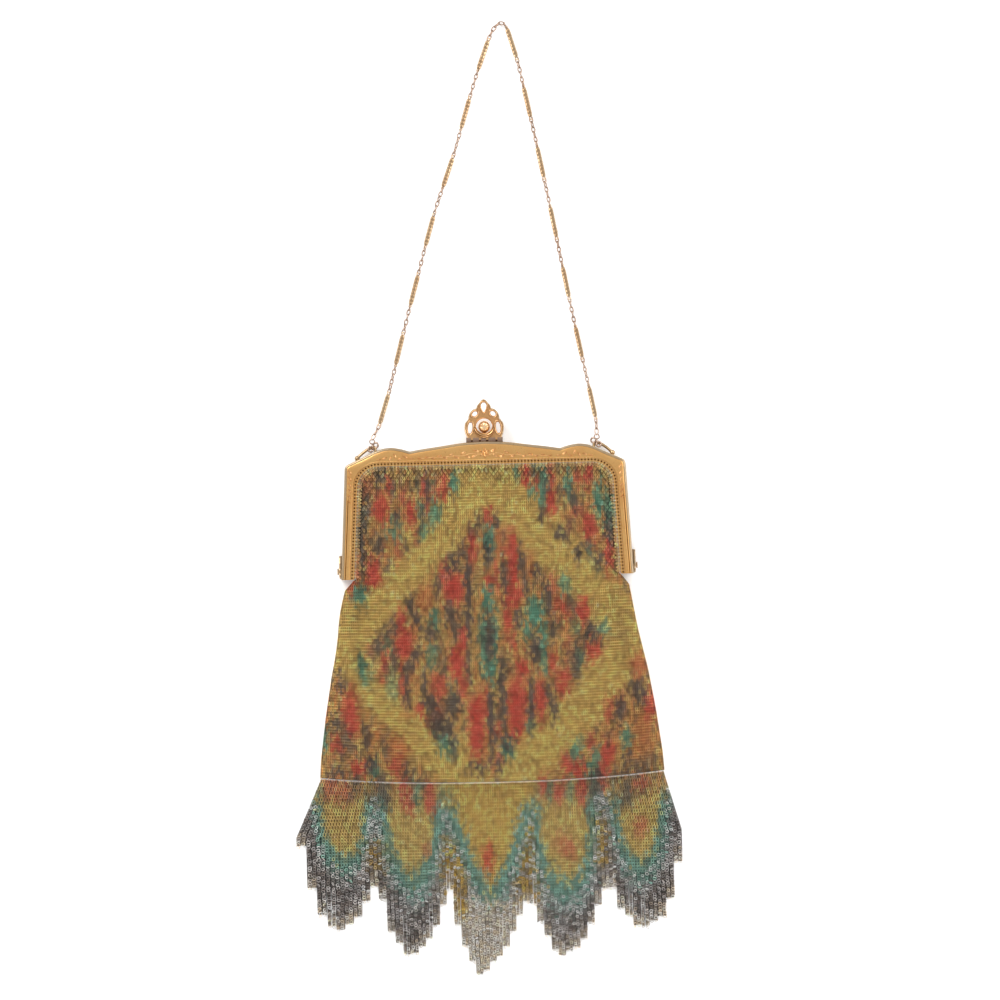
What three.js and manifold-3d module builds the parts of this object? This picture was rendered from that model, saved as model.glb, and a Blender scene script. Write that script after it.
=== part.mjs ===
// A metal mesh evening purse with a stamped brass frame, lying on its back.
// Millimetres: X across the frame, Y towards the top of the chain, Z up from
// the surface that it lies on. Heights along Y are measured from the row of
// sewing holes in the frame, and the whole purse is shifted at the end so that
// the origin is on the flat back of the frame.
import * as THREE from 'three';
import { mergeVertices } from 'three/addons/utils/BufferGeometryUtils.js';
import Module from 'manifold-3d';

const wasm = await Module();
wasm.setup();

// Points round curves
const rodSides = 12;
const ballAround = 16;
const ballDown = 10;
const edgeSteps = 20; // along the crest's half outline
const middleSteps = 18; // round the crest's middle opening
const openingSteps = 10; // round its other openings

// Clearances
const seatGap = 0.3; // between pieces that touch on the real purse
const wireGap = 0.2; // between wires that pass through one another
const overlap = 0.4; // how far fused solids run into each other

// Frame, two stamped halves face to face
const sheet = 0.8; // brass sheet
const halfDepth = 4.3; // one half, from the meeting plane to its face
const crownRise = 8.2; // hole row to the top edge at the centre
const shoulderHalf = 56; // centre line to the top corner
const armSplay = 2.3; // the arm's end stands this much further out
const armDrop = 45.8; // hole row to the arm's end
const cornerDrop = 1.6; // hole row to where the arm's straight side begins
const faceBevel = 0.9; // rim round the face
const armWideTop = 4; // hole row to the outer edge at the top of the arm
const armWideFoot = 4.2; // the same at the arm's end
const mouthRadius = 9.5; // rounded corner of the hole row
const faceStep = 0.8; // hole row to the raised face
const flangeLip = 0.9; // hole row to the flange's inner edge
const flangeSink = 1.3; // face down to the sewing flange
const armGrooveAt = 2.4; // hole row to the groove along each arm
const armGrooveWide = 0.5;
const armGrooveDeep = 0.3;
const armGrooveTop = 5; // the groove starts this far below the hole row

// Relief on the front face
const leafLong = 2.3;
const leafWide = 0.9;
const leafHigh = 0.4;
const rosetteRadius = 1.15; // centre of the flower to the middle of a petal
const petalCount = 6;
const petalScale = 0.55; // petal to leaf
const armLeafScale = 0.8;
const flowerEye = 0.56; // radius of the flower's middle

// Hinge at the end of each arm
const hingeUp = 3.3; // arm's end to the hinge axis
const earSides = 20;
const earRadius = 2.2; // front half's ear
const cheekThick = 0.6; // rear half's cheek outside the ear
const cheekRadius = 2.5;
const cheekLong = 9.6; // arm's end to the top of the cheek's tail
const rivetRadius = 0.7;
const rivetHead = 1.3;
const rivetHeadThick = 0.5;

// Clasp
const crestHalf = 7.9; // half width of the pierced crest
const crestHigh = 16.6; // above its seat on the frame
const crestThick = 1.6;
const crestBevel = 0.3;
const crestFootHigh = 1.3; // strip that stands on the frame
const crestFootHalf = 7.3;
const crestFootThick = 2.6;
const crestLift = 0.8; // meeting plane to the crest's back
const cradleRaise = 0.9; // the cradle stands proud of the crest
const cradleWide = 1.1; // at its ends
const cradleShift = 0.8; // it is this much wider at the bottom
const cradleReach = 151; // degrees that it reaches round the button
const buttonRoom = 1; // round the button in the crest's middle opening
const buttonRadius = 2.3;
const buttonUp = 5.5; // frame seat to the button's centre
const buttonPost = 0.9;
const buttonFoot = 1.8;
const buttonFootThick = 0.7;
const tenonRadius = 0.7;
const tenonDeep = 1.2; // into the frame's top wall
const crestTenonAt = 4.5; // centre line to each crest tenon

// Lugs that carry the chain
const lugWire = 0.4; // radius
const lugInset = 5; // top corner to the lug's outer foot
const lugSpan = 7.4; // between its feet
const lugRise = 2.2; // arch above the frame's edge
const lugKnob = 0.9;
const ringOut = 1.3; // lug's inner foot to the chain's end ring
const ringRadius = 1.3; // to the middle of its wire
const ringWire = 0.25;

// Chain
const linkTube = 1.1; // radius of the run of links
const barLong = 12.4;
const barWide = 1.95;
const barThick = 1;
const barBevel = 0.2;
const barCount = 14;
const barLead = 7; // eye to the first bar
const eyeRadius = 0.95;

// Mesh pouch
const meshWall = 1.2;
const pouchBelow = 82.3; // arm's end to the seam above the fringe
const pouchFlare = 10.7; // the seam's end lies this far outside the arm's end
const pouchFootThick = 3.8; // at the seam
const pouchSideWall = 1.6;
const slitFoot = 0.5; // the open sides end this far below the arm's end
const edgeSoft = 15; // length over which the side becomes round below the arms
const edgeShare = 0.4; // thickness of that round side, as a share
const edgePower = 10; // roundness of that side
const backSoft = 8; // width over which the back panel sinks to the surface

// Fringe
const fringeLong = 77; // seam to the longest tip
const fringeSpread = 10.5; // how far the side strands lean out
const fringeInset = 0.5; // the head is this much narrower than the seam
const fringeThick = 2.4;
const strandPitch = 2.75;
const strandSlit = 0.35;
const strandTip = 0.7; // length of a strand's pointed end
const fanLong = 20; // length over which the side strands lean out
const fanPower = 3;
const slitShare = 0.6; // where the slits begin, as a share of the drop
const pointPower = 1.8; // roundness of the five points

// Top edge of the frame from the centre out, as shares of shoulderHalf and
// crownRise, with the raised humps before the shoulders
const topEdge = [
  { across: 0.0, rise: 1.0 },
  { across: 0.14, rise: 0.955 },
  { across: 0.32, rise: 0.8 },
  { across: 0.49, rise: 0.64 },
  { across: 0.535, rise: 0.59 },
  { across: 0.577, rise: 0.68 },
  { across: 0.62, rise: 0.75 },
  { across: 0.666, rise: 0.805 },
  { across: 0.711, rise: 0.77 },
  { across: 0.789, rise: 0.6 },
  { across: 0.855, rise: 0.39 },
  { across: 0.932, rise: 0.15 },
  { across: 0.985, rise: -0.01 },
];

// Leaves of the relief, as shares of shoulderHalf and crownRise, and turns in
// degrees; each has a twin on the other side
const topLeaves = [
  { across: 0.052, rise: 0.6, turn: 35 },
  { across: 0.085, rise: 0.43, turn: -30 },
  { across: 0.122, rise: 0.6, turn: 30 },
  { across: 0.16, rise: 0.45, turn: -35 },
  { across: 0.198, rise: 0.56, turn: 20 },
  { across: 0.235, rise: 0.44, turn: -15 },
  { across: 0.57, rise: 0.33, turn: 40 },
  { across: 0.605, rise: 0.48, turn: -25 },
  { across: 0.65, rise: 0.4, turn: 30 },
  { across: 0.7, rise: 0.48, turn: -35 },
];
const armLeaves = [
  // down: share of armDrop, turn in degrees
  { down: 0.13, turn: 60 },
  { down: 0.185, turn: 115 },
  { down: 0.24, turn: 70 },
  { down: 0.295, turn: 105 },
];

// Arch of a lug from its inner foot to its outer one: along is a share of
// lugSpan, lift the height above the frame's edge as a share of lugRise
const lugArch = [
  { along: 0.04, lift: 0.75 },
  { along: 0.2, lift: 1.0 },
  { along: 0.6, lift: 0.95 },
  { along: 1.0, lift: 0.35 },
];

// Half outline of the crest, as shares of crestHalf and crestHigh
const crestEdge = [
  { out: 0.78, up: 0.02 },
  { out: 0.88, up: 0.08 },
  { out: 0.975, up: 0.2 },
  { out: 1.0, up: 0.31 },
  { out: 0.955, up: 0.43 },
  { out: 0.8, up: 0.515 },
  { out: 0.775, up: 0.595 },
  { out: 0.7, up: 0.68 },
  { out: 0.54, up: 0.755 },
  { out: 0.385, up: 0.775 },
  { out: 0.34, up: 0.845 },
  { out: 0.2, up: 0.92 },
  { out: 0.12, up: 0.97 },
  { out: 0.0, up: 1.0 },
];

// Openings of the crest: centre and half sizes as shares of crestHalf and
// crestHigh, turn in degrees; those with out above 0 have a twin
const crestOpenings = [
  { out: 0.71, up: 0.31, wide: 0.115, tall: 0.145, turn: 6 },
  { out: 0.46, up: 0.645, wide: 0.15, tall: 0.052, turn: -40 },
  { out: 0.0, up: 0.8, wide: 0.15, tall: 0.12, turn: 0 },
];

// Pouch below the arms: down is a share of pouchBelow, flare a share of
// pouchFlare, thick a share of the thickness at the mouth
const pouchSides = [
  { down: 0.0, flare: -0.47 },
  { down: 0.055, flare: -0.16 },
  { down: 0.275, flare: 0.13 },
  { down: 0.483, flare: 0.48 },
  { down: 0.69, flare: 0.74 },
  { down: 0.906, flare: 0.955 },
  { down: 1.0, flare: 1.0 },
];
const pouchLoft = [
  { down: 0.08, thick: 1.0 },
  { down: 0.4, thick: 0.88 },
  { down: 0.69, thick: 0.7 },
];
// Rows of the pouch's grid, as shares of mouthRadius, armDrop and pouchBelow
const cornerRows = [0, 0.06, 0.22, 0.52, 1];
const armRows = [0.45, 0.72, 0.97];
const belowRows = [0, 0.012, 0.055, 0.11, 0.2, 0.32, 0.44, 0.56, 0.68, 0.8, 0.91, 1];
const pouchColumns = [0, 0.25, 0.5, 0.66, 0.76, 0.84, 0.9, 0.96, 1];

// Long folds of the front panel: a row for each bend, across as a share of
// the half width at the seam and down as a share of the pouch's length
const folds = [
  {
    deep: 1.3,
    wide: 4.5,
    bends: [
      { down: 0.22, across: -0.73 },
      { down: 0.38, across: -0.715 },
      { down: 0.6, across: -0.77 },
      { down: 0.7, across: -0.785 },
      { down: 0.93, across: -0.69 },
    ],
  },
  {
    deep: 0.6,
    wide: 5,
    bends: [
      { down: 0.34, across: 0.74 },
      { down: 0.62, across: 0.8 },
      { down: 0.92, across: 0.88 },
    ],
  },
];

// Five points of the fringe: across is a share of fringeHalf, drop a share of
// fringeLong
const fringeTips = [
  { across: -0.81, drop: 0.765 },
  { across: -0.438, drop: 0.893 },
  { across: -0.09, drop: 1.0 },
  { across: 0.33, drop: 0.908 },
  { across: 0.729, drop: 0.787 },
];
const fringeValleys = [
  { across: -1.0, drop: 0.26 },
  { across: -0.613, drop: 0.506 },
  { across: -0.24, drop: 0.545 },
  { across: 0.167, drop: 0.575 },
  { across: 0.568, drop: 0.51 },
  { across: 0.953, drop: 0.265 },
];

// Route of the chain between its two end rings, points chosen by hand
const chainRoute = [
  [-41.6, 16.5],
  [-37.8, 28.5],
  [-31.6, 51.6],
  [-25.0, 75.4],
  [-18.1, 99.3],
  [-9.9, 122.3],
  [-2.6, 146.1],
  [4.2, 166.0],
  [8.6, 174.3],
  [12.6, 173.6],
  [16.2, 162.0],
  [19.1, 148.8],
  [23.8, 125.5],
  [28.4, 101.4],
  [33.0, 76.4],
  [38.0, 49.9],
  [42.6, 27.2],
  [44.6, 16.5],
];

// Places that follow from the sizes
const footHalf = shoulderHalf + armSplay;
const mouthHalfTop = shoulderHalf - armWideTop;
const mouthHalfFoot = footHalf - armWideFoot;
const lugOuter = shoulderHalf - lugInset;
const lugInner = lugOuter - lugSpan;
const ringAt = lugInner + ringOut;
const pouchFootHalf = footHalf + pouchFlare;
const fringeHeadHalf = pouchFootHalf - fringeInset;
const fringeHalf = fringeHeadHalf + fringeSpread;
const frameFrontZ = halfDepth + seatGap; // meeting plane of the front half
const purseDepth = frameFrontZ + halfDepth;
const hingeZ = halfDepth + seatGap / 2;
const hingeY = -armDrop + hingeUp;
const mouthY = -flangeLip - seatGap; // the pouch starts here
const seamY = -armDrop - pouchBelow;
const pouchLong = mouthY - seamY;
const fringeY = seamY - seatGap;
const flangeLow = halfDepth - flangeSink - sheet;
const frontPanelZ = frameFrontZ + flangeLow + meshWall; // outside of the front panel
const backPanelZ = halfDepth - flangeLow - meshWall; // outside of the back panel
const crestY = crownRise + seatGap;
const crestZ = frameFrontZ + crestLift;
const buttonY = crestY + buttonUp;
const buttonZ = crestZ + crestThick - buttonRadius;
const rearWallZ = halfDepth / 2; // middle of the rear half's top wall
const frontWallZ = crestZ + crestThick / 2;
const backFaceY = (faceStep + crownRise) / 2;

// Materials
const gilt = new THREE.MeshStandardMaterial({ color: 0xcd9858, roughness: 0.38, metalness: 0.9 });
const dullGilt = new THREE.MeshStandardMaterial({ color: 0xb98748, roughness: 0.45, metalness: 0.9 });
const chainGilt = new THREE.MeshStandardMaterial({ color: 0xc9a05a, roughness: 0.35, metalness: 0.9 });
const rivetBrass = new THREE.MeshStandardMaterial({ color: 0x9c7a4c, roughness: 0.4, metalness: 0.9 });
const paintedMesh = new THREE.MeshStandardMaterial({ color: 0xb89a48, roughness: 0.5, metalness: 0.4 });
const fringeMesh = new THREE.MeshStandardMaterial({ color: 0x6d675c, roughness: 0.45, metalness: 0.6 });

// A closed geometry as a solid that can be joined and cut
function solid(geometry) {
  geometry.deleteAttribute('normal');
  if (geometry.getAttribute('uv')) geometry.deleteAttribute('uv');
  const merged = mergeVertices(geometry, 1e-5);
  return new wasm.Manifold(new wasm.Mesh({
    numProp: 3,
    vertProperties: new Float32Array(merged.getAttribute('position').array),
    triVerts: new Uint32Array(merged.getIndex().array),
  }));
}

function meshOf(name, body, material) {
  const data = body.getMesh();
  const geometry = new THREE.BufferGeometry();
  geometry.setAttribute('position', new THREE.BufferAttribute(data.vertProperties, 3));
  geometry.setIndex(new THREE.BufferAttribute(data.triVerts, 1));
  geometry.computeVertexNormals();
  const mesh = new THREE.Mesh(geometry, material);
  mesh.name = name;
  return mesh;
}

function joined(bodies) {
  return bodies.reduce((whole, body) => whole.add(body));
}

// A flat outline raised from z = low to z = high
function prism(points, low, high) {
  const shape = new THREE.Shape(points.map(([x, y]) => new THREE.Vector2(x, y)));
  const geometry = new THREE.ExtrudeGeometry(shape, { depth: high - low, bevelEnabled: false });
  geometry.translate(0, 0, low);
  return solid(geometry);
}

function box(low, high) {
  const size = high.map((value, axis) => value - low[axis]);
  const geometry = new THREE.BoxGeometry(...size);
  geometry.translate(...high.map((value, axis) => (value + low[axis]) / 2));
  return solid(geometry);
}

// A round bar between two points
function rod(from, to, radius, sides) {
  const start = new THREE.Vector3(...from);
  const end = new THREE.Vector3(...to);
  const geometry = new THREE.CylinderGeometry(radius, radius, start.distanceTo(end), sides);
  const turn = new THREE.Quaternion().setFromUnitVectors(
    new THREE.Vector3(0, 1, 0), end.clone().sub(start).normalize());
  geometry.applyQuaternion(turn);
  const middle = start.add(end).multiplyScalar(0.5);
  geometry.translate(middle.x, middle.y, middle.z);
  return solid(geometry);
}

function ball(centre, radius, around = 12, down = 8) {
  const geometry = new THREE.SphereGeometry(radius, around, down);
  geometry.translate(...centre);
  return solid(geometry);
}

// A wire of round section along a smooth curve through the points
function wire(points, radius, sides, steps) {
  const curve = new THREE.CatmullRomCurve3(points.map((point) => new THREE.Vector3(...point)));
  const section = new THREE.Shape(Array.from({ length: sides }, (_, side) => {
    const angle = (side + 0.5) / sides * 2 * Math.PI;
    return new THREE.Vector2(radius * Math.cos(angle), radius * Math.sin(angle));
  }));
  return solid(new THREE.ExtrudeGeometry(section, { steps, extrudePath: curve }));
}

// Straight-line reading of a table: the value at a place between two rows
function readTable(rows, key, value, at) {
  const last = rows.length - 1;
  if (at <= rows[0][key]) return rows[0][value];
  for (let index = 0; index < last; index += 1) {
    const here = rows[index];
    const next = rows[index + 1];
    if (at <= next[key]) {
      const share = (at - here[key]) / (next[key] - here[key]);
      return here[value] + share * (next[value] - here[value]);
    }
  }
  return rows[last][value];
}

// Height of the frame's top edge above the hole row
function topEdgeY(x) {
  return crownRise * readTable(topEdge, 'across', 'rise', Math.abs(x) / shoulderHalf);
}

// Right half of the frame's outer edge from the centre to the arm's end, moved
// in by inset, the end by endInset
function outerHalf(inset, endInset) {
  const edge = topEdge.map((row) => [row.across * shoulderHalf, row.rise * crownRise]);
  edge.push([shoulderHalf, -cornerDrop], [footHalf, -armDrop]);
  const moved = edge.map(([x, y], index) => {
    const before = edge[Math.max(index - 1, 0)];
    const after = edge[Math.min(index + 1, edge.length - 1)];
    const run = after[0] - before[0];
    const fall = after[1] - before[1];
    const length = Math.hypot(run, fall);
    return [x + inset * fall / length, y - inset * run / length];
  });
  moved[0] = [0, crownRise - inset];
  moved[moved.length - 1][1] = -armDrop + endInset;
  return moved;
}

// Half width of the hole row's outline at a height y, moved out by shift
function mouthHalfAt(y, shift) {
  const radius = mouthRadius + shift;
  const down = shift - y;
  const arm = (mouthHalfFoot - mouthHalfTop) * Math.max(down - radius, 0) / (armDrop + shift - radius);
  const round = Math.max(radius - down, 0);
  return mouthHalfTop + shift + arm - radius + Math.sqrt(Math.max(radius * radius - round * round, 0));
}

// Right half of the hole row's outline from the arm's end to the centre
function mouthHalf(shift, endInset) {
  const radius = mouthRadius + shift;
  const points = [[mouthHalfAt(-armDrop + endInset, shift), -armDrop + endInset]];
  const arcSteps = 6;
  for (let step = 0; step <= arcSteps; step += 1) {
    const angle = step / arcSteps * Math.PI / 2;
    const x = mouthHalfTop + shift - radius + radius * Math.cos(angle);
    points.push([x, shift - radius + radius * Math.sin(angle)]);
  }
  points.push([0, shift]);
  return points;
}

// The frame's arch between its outer edge and the mouth
function archOutline(inset, shift, endInset) {
  const right = [...outerHalf(inset, endInset), ...mouthHalf(shift, endInset)];
  const left = right.slice(1, -1).reverse().map(([x, y]) => [-x, y]);
  return [...right, ...left];
}

// The same arch with a rim bevelled round its face
function bevelledArch() {
  const outline = archOutline(0, faceStep, 0).map(([x, y]) => new THREE.Vector2(x, y));
  const geometry = new THREE.ExtrudeGeometry(new THREE.Shape(outline), {
    depth: halfDepth,
    bevelThickness: faceBevel,
    bevelSize: faceBevel,
    bevelOffset: -faceBevel,
    bevelSegments: 1,
  });
  geometry.translate(0, 0, -faceBevel);
  const reach = 2 * footHalf;
  return solid(geometry).subtract(box([-reach, -reach, -reach], [reach, reach, 0]));
}

// One stamped half, with its meeting plane at z = 0 and its face at halfDepth:
// a hollow arch with a lower flange for the sewing holes
function stampedHalf() {
  const under = -halfDepth;
  const channel = prism(archOutline(sheet, faceStep + sheet, sheet), under, halfDepth - sheet);
  const belowFlange = prism(archOutline(sheet, -flangeLip - sheet, sheet), under, flangeLow);
  const flange = prism(archOutline(sheet + overlap, -flangeLip, 0), flangeLow, flangeLow + sheet);
  const flangeBand = flange.subtract(
    prism(archOutline(-sheet, faceStep + sheet, -sheet), under, halfDepth));
  return bevelledArch().subtract(channel).add(flangeBand).subtract(belowFlange);
}

function leaf(x, y, turn, scale = 1) {
  const geometry = new THREE.SphereGeometry(1, 6, 4);
  geometry.rotateX(Math.PI / 2);
  geometry.scale(scale * leafLong / 2, leafWide / 2, leafHigh);
  geometry.rotateZ(THREE.MathUtils.degToRad(turn));
  geometry.translate(x, y, halfDepth);
  return solid(geometry);
}

// Flower and leaves on the top bar and the tops of the arms
function relief() {
  const flowerY = backFaceY;
  const pieces = [ball([0, flowerY, halfDepth], flowerEye, 8, 4)];
  for (let petal = 0; petal < petalCount; petal += 1) {
    const turn = petal / petalCount * 360;
    const angle = THREE.MathUtils.degToRad(turn);
    const x = rosetteRadius * Math.cos(angle);
    pieces.push(leaf(x, flowerY + rosetteRadius * Math.sin(angle), turn, petalScale));
  }
  for (const side of [-1, 1]) {
    for (const row of topLeaves) {
      pieces.push(leaf(side * row.across * shoulderHalf, row.rise * crownRise, side * row.turn));
    }
    for (const row of armLeaves) {
      const y = -row.down * armDrop;
      const x = mouthHalfAt(y, 0) + (faceStep + armGrooveAt) / 2;
      pieces.push(leaf(side * x, y, side * row.turn, armLeafScale));
    }
  }
  return joined(pieces);
}

// Grooves cut along the two arms
function armGrooves() {
  const low = halfDepth - armGrooveDeep;
  const high = halfDepth + armGrooveDeep;
  const band = (side) => {
    const near = (y) => side * mouthHalfAt(y, armGrooveAt);
    const far = (y) => side * mouthHalfAt(y, armGrooveAt + armGrooveWide);
    const top = -armGrooveTop - mouthRadius;
    const foot = -armDrop - overlap;
    return prism([[near(top), top], [far(top), top], [far(foot), foot], [near(foot), foot]], low, high);
  };
  return band(-1).add(band(1));
}

function frameFront() {
  const localHinge = hingeZ - frameFrontZ;
  const hingeSide = (side) => {
    const inner = footHalf - sheet - overlap;
    return rod([side * inner, hingeY, localHinge], [side * (footHalf - overlap / 2), hingeY, localHinge],
      earRadius, earSides);
  };
  const hole = (side) => rod([side * (footHalf - 3 * sheet), hingeY, localHinge],
    [side * (footHalf + sheet), hingeY, localHinge], rivetRadius + seatGap, rodSides);
  const tenonHole = (side) => rod(
    [side * crestTenonAt, crownRise - 2 * sheet, frontWallZ - frameFrontZ],
    [side * crestTenonAt, crownRise + sheet, frontWallZ - frameFrontZ], tenonRadius + seatGap, rodSides);
  let half = stampedHalf().add(relief()).subtract(armGrooves());
  for (const side of [-1, 1]) {
    half = half.add(hingeSide(side)).subtract(hole(side)).subtract(tenonHole(side));
  }
  const mesh = meshOf('frame_front', half, gilt);
  mesh.position.z = frameFrontZ;
  return mesh;
}

// Outline of the hinge cheek in the plane of its arm: along the arm and up
function cheekOutline(low) {
  const points = [[-armDrop + overlap, low]];
  const steps = 8;
  const turn = 3 * Math.PI / 4;
  for (let step = 0; step <= steps; step += 1) {
    const angle = Math.PI - step / steps * turn;
    points.push([hingeY + cheekRadius * Math.cos(angle), hingeZ + cheekRadius * Math.sin(angle)]);
  }
  points.push([-armDrop + cheekLong, halfDepth - sheet], [-armDrop + cheekLong, low]);
  return points;
}

// Cheek of the rear half, outside the front half's ear, on a ledge that joins
// it to the arm
function hingeCheek(side) {
  const low = faceBevel;
  const inside = footHalf + seatGap;
  const shape = new THREE.Shape(cheekOutline(low).map(([y, z]) => new THREE.Vector2(y, z)));
  const plate = new THREE.ExtrudeGeometry(shape, { depth: cheekThick, bevelEnabled: false });
  plate.applyMatrix4(new THREE.Matrix4().set(0, 0, 1, inside, 1, 0, 0, 0, 0, 1, 0, 0, 0, 0, 0, 1));
  const ledge = box([footHalf - sheet - overlap, -armDrop + overlap, low],
    [inside + cheekThick, -armDrop + cheekLong, hingeZ - earRadius - seatGap]);
  const hole = rod([footHalf - sheet, hingeY, hingeZ], [inside + 2 * sheet, hingeY, hingeZ],
    rivetRadius + seatGap, rodSides);
  const cheek = solid(plate).add(ledge).subtract(hole);
  return side > 0 ? cheek : cheek.mirror([1, 0, 0]);
}

// Arched wire on the shoulder with a knob at its outer end
function lug(side) {
  const foot = (x) => [side * x, topEdgeY(x) - overlap, rearWallZ];
  const arch = lugArch.map((row) => {
    const x = lugInner + row.along * lugSpan;
    return [side * x, topEdgeY(x) + row.lift * lugRise, rearWallZ];
  });
  const knobAt = [side * lugOuter, topEdgeY(lugOuter) + lugKnob - wireGap, rearWallZ];
  const loop = wire([foot(lugInner), ...arch, foot(lugOuter)], lugWire, 6, 16);
  return loop.add(ball(knobAt, lugKnob, 10, 6));
}

// Middle of the lug's wire where the end ring hangs
function lugWireY() {
  return topEdgeY(ringAt) + lugRise * readTable(lugArch, 'along', 'lift', ringOut / lugSpan);
}

function frameRear() {
  const geometry = new THREE.Matrix4().makeRotationY(Math.PI).setPosition(0, 0, halfDepth);
  let half = stampedHalf().transform(geometry.elements);
  for (const side of [-1, 1]) {
    const notch = rod([side * (footHalf - 3 * sheet), hingeY, hingeZ],
      [side * (footHalf + seatGap / 2), hingeY, hingeZ], earRadius + seatGap, earSides);
    half = half.subtract(notch).add(hingeCheek(side)).add(lug(side));
  }
  const tenonHole = rod([0, crownRise - 2 * sheet, rearWallZ], [0, crownRise + sheet, rearWallZ],
    tenonRadius + seatGap, rodSides);
  return meshOf('frame_rear', half.subtract(tenonHole), gilt);
}

// Rivet through the front half's ear and the rear half's cheek
function hingeRivet(name, side) {
  const outside = footHalf + seatGap + cheekThick + wireGap;
  const inside = footHalf - sheet - overlap - seatGap;
  const at = (x) => [side * x, hingeY, hingeZ];
  const body = joined([
    rod(at(inside - rivetHeadThick / 2), at(outside + rivetHeadThick / 2), rivetRadius, rodSides),
    rod(at(outside), at(outside + rivetHeadThick), rivetHead, rodSides),
    rod(at(inside - rivetHeadThick), at(inside), rivetHead, rodSides),
  ]);
  return meshOf(name, body, rivetBrass);
}

// Crescent that holds the button, thick at its middle
function cradle(centreY, low, high) {
  const steps = 12;
  const reach = THREE.MathUtils.degToRad(cradleReach);
  const arc = (radius, shift) => Array.from({ length: steps + 1 }, (_, step) => {
    const angle = reach * (step / steps - 1 / 2) - Math.PI / 2;
    return [radius * Math.cos(angle), centreY + shift + radius * Math.sin(angle)];
  });
  const inner = buttonRadius + seatGap + cradleShift;
  return prism([...arc(inner + cradleWide, 0), ...arc(inner, cradleShift).reverse()], low, high);
}

// Pierced crest on its foot strip, with two tenons down into the frame
function claspCrest() {
  const right = new THREE.SplineCurve(crestEdge.map((row) =>
    new THREE.Vector2(row.out * crestHalf, crestY + row.up * crestHigh))).getPoints(edgeSteps);
  const left = right.slice(0, -1).reverse().map((point) => new THREE.Vector2(-point.x, point.y));
  const shape = new THREE.Shape([...right, ...left]);
  const pierce = (x, y, wide, tall, turn, points) => {
    const hole = new THREE.Path();
    hole.absellipse(x, y, wide, tall, 0, 2 * Math.PI, false, THREE.MathUtils.degToRad(turn));
    shape.holes.push(new THREE.Path(hole.getSpacedPoints(points).slice(0, -1)));
  };
  const middle = buttonRadius + buttonRoom;
  pierce(0, buttonY, middle, middle, 0, middleSteps);
  for (const row of crestOpenings) {
    for (const side of row.out > 0 ? [-1, 1] : [1]) {
      pierce(side * row.out * crestHalf, crestY + row.up * crestHigh, row.wide * crestHalf,
        row.tall * crestHigh, side * row.turn, openingSteps);
    }
  }
  const plate = new THREE.ExtrudeGeometry(shape, {
    depth: crestThick - 2 * crestBevel,
    bevelThickness: crestBevel,
    bevelSize: crestBevel,
    bevelOffset: -crestBevel,
    bevelSegments: 1,
    curveSegments: 1,
  });
  plate.translate(0, 0, crestZ + crestBevel);
  const footSteps = 6;
  const foot = Array.from({ length: footSteps + 1 }, (_, step) => {
    const x = crestFootHalf * (2 * step / footSteps - 1);
    return [x, topEdgeY(x) + seatGap];
  });
  foot.push([crestFootHalf, crestY + crestFootHigh / 2], [crestFootHalf - overlap, crestY + crestFootHigh],
    [-crestFootHalf + overlap, crestY + crestFootHigh], [-crestFootHalf, crestY + crestFootHigh / 2]);
  const footLow = frontWallZ - crestFootThick / 2;
  const pieces = [
    solid(plate), prism(foot, footLow, footLow + crestFootThick),
    cradle(buttonY, crestZ, crestZ + crestThick + cradleRaise),
  ];
  for (const side of [-1, 1]) {
    pieces.push(rod([side * crestTenonAt, crownRise - tenonDeep, frontWallZ],
      [side * crestTenonAt, crestY + overlap, frontWallZ], tenonRadius, rodSides));
  }
  return meshOf('clasp_crest', joined(pieces), dullGilt);
}

// Round button on a post that leans forward into the crest's opening
function claspButton() {
  const foot = [0, crestY, rearWallZ];
  const footTop = [0, crestY + buttonFootThick, rearWallZ];
  const postFoot = [0, crestY + buttonFootThick / 2, rearWallZ];
  const postTop = [0, buttonY - buttonRadius / 2, buttonZ];
  const body = joined([
    ball([0, buttonY, buttonZ], buttonRadius, ballAround, ballDown),
    rod(postFoot, postTop, buttonPost, rodSides),
    rod(foot, footTop, buttonFoot, rodSides),
    rod([0, crownRise - tenonDeep, rearWallZ], [0, crestY + overlap, rearWallZ], tenonRadius, rodSides),
  ]);
  return meshOf('clasp_button', body, gilt);
}

// Half width of the pouch at a height y
function pouchHalfAt(y) {
  const down = (-armDrop - y) / pouchBelow;
  if (down <= 0) return mouthHalfAt(y, mouthY);
  const first = pouchSides[0];
  const start = mouthHalfAt(-armDrop, mouthY) - footHalf - pouchFlare * first.flare;
  const fade = Math.max(1 - down / pouchSides[1].down, 0);
  return footHalf + pouchFlare * readTable(pouchSides, 'down', 'flare', down) + start * fade;
}

// How far the long folds sink the front panel at a point
function foldDepth(x, y) {
  const down = (mouthY - y) / pouchLong;
  let depth = 0;
  for (const fold of folds) {
    const first = fold.bends[0].down;
    const last = fold.bends[fold.bends.length - 1].down;
    if (down > first && down < last) {
      const off = x - pouchFootHalf * readTable(fold.bends, 'down', 'across', down);
      const fade = Math.sqrt(Math.sin(Math.PI * (down - first) / (last - first)));
      depth += fold.deep * fade * Math.exp(-((off / fold.wide) ** 2));
    }
  }
  return depth;
}

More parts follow.
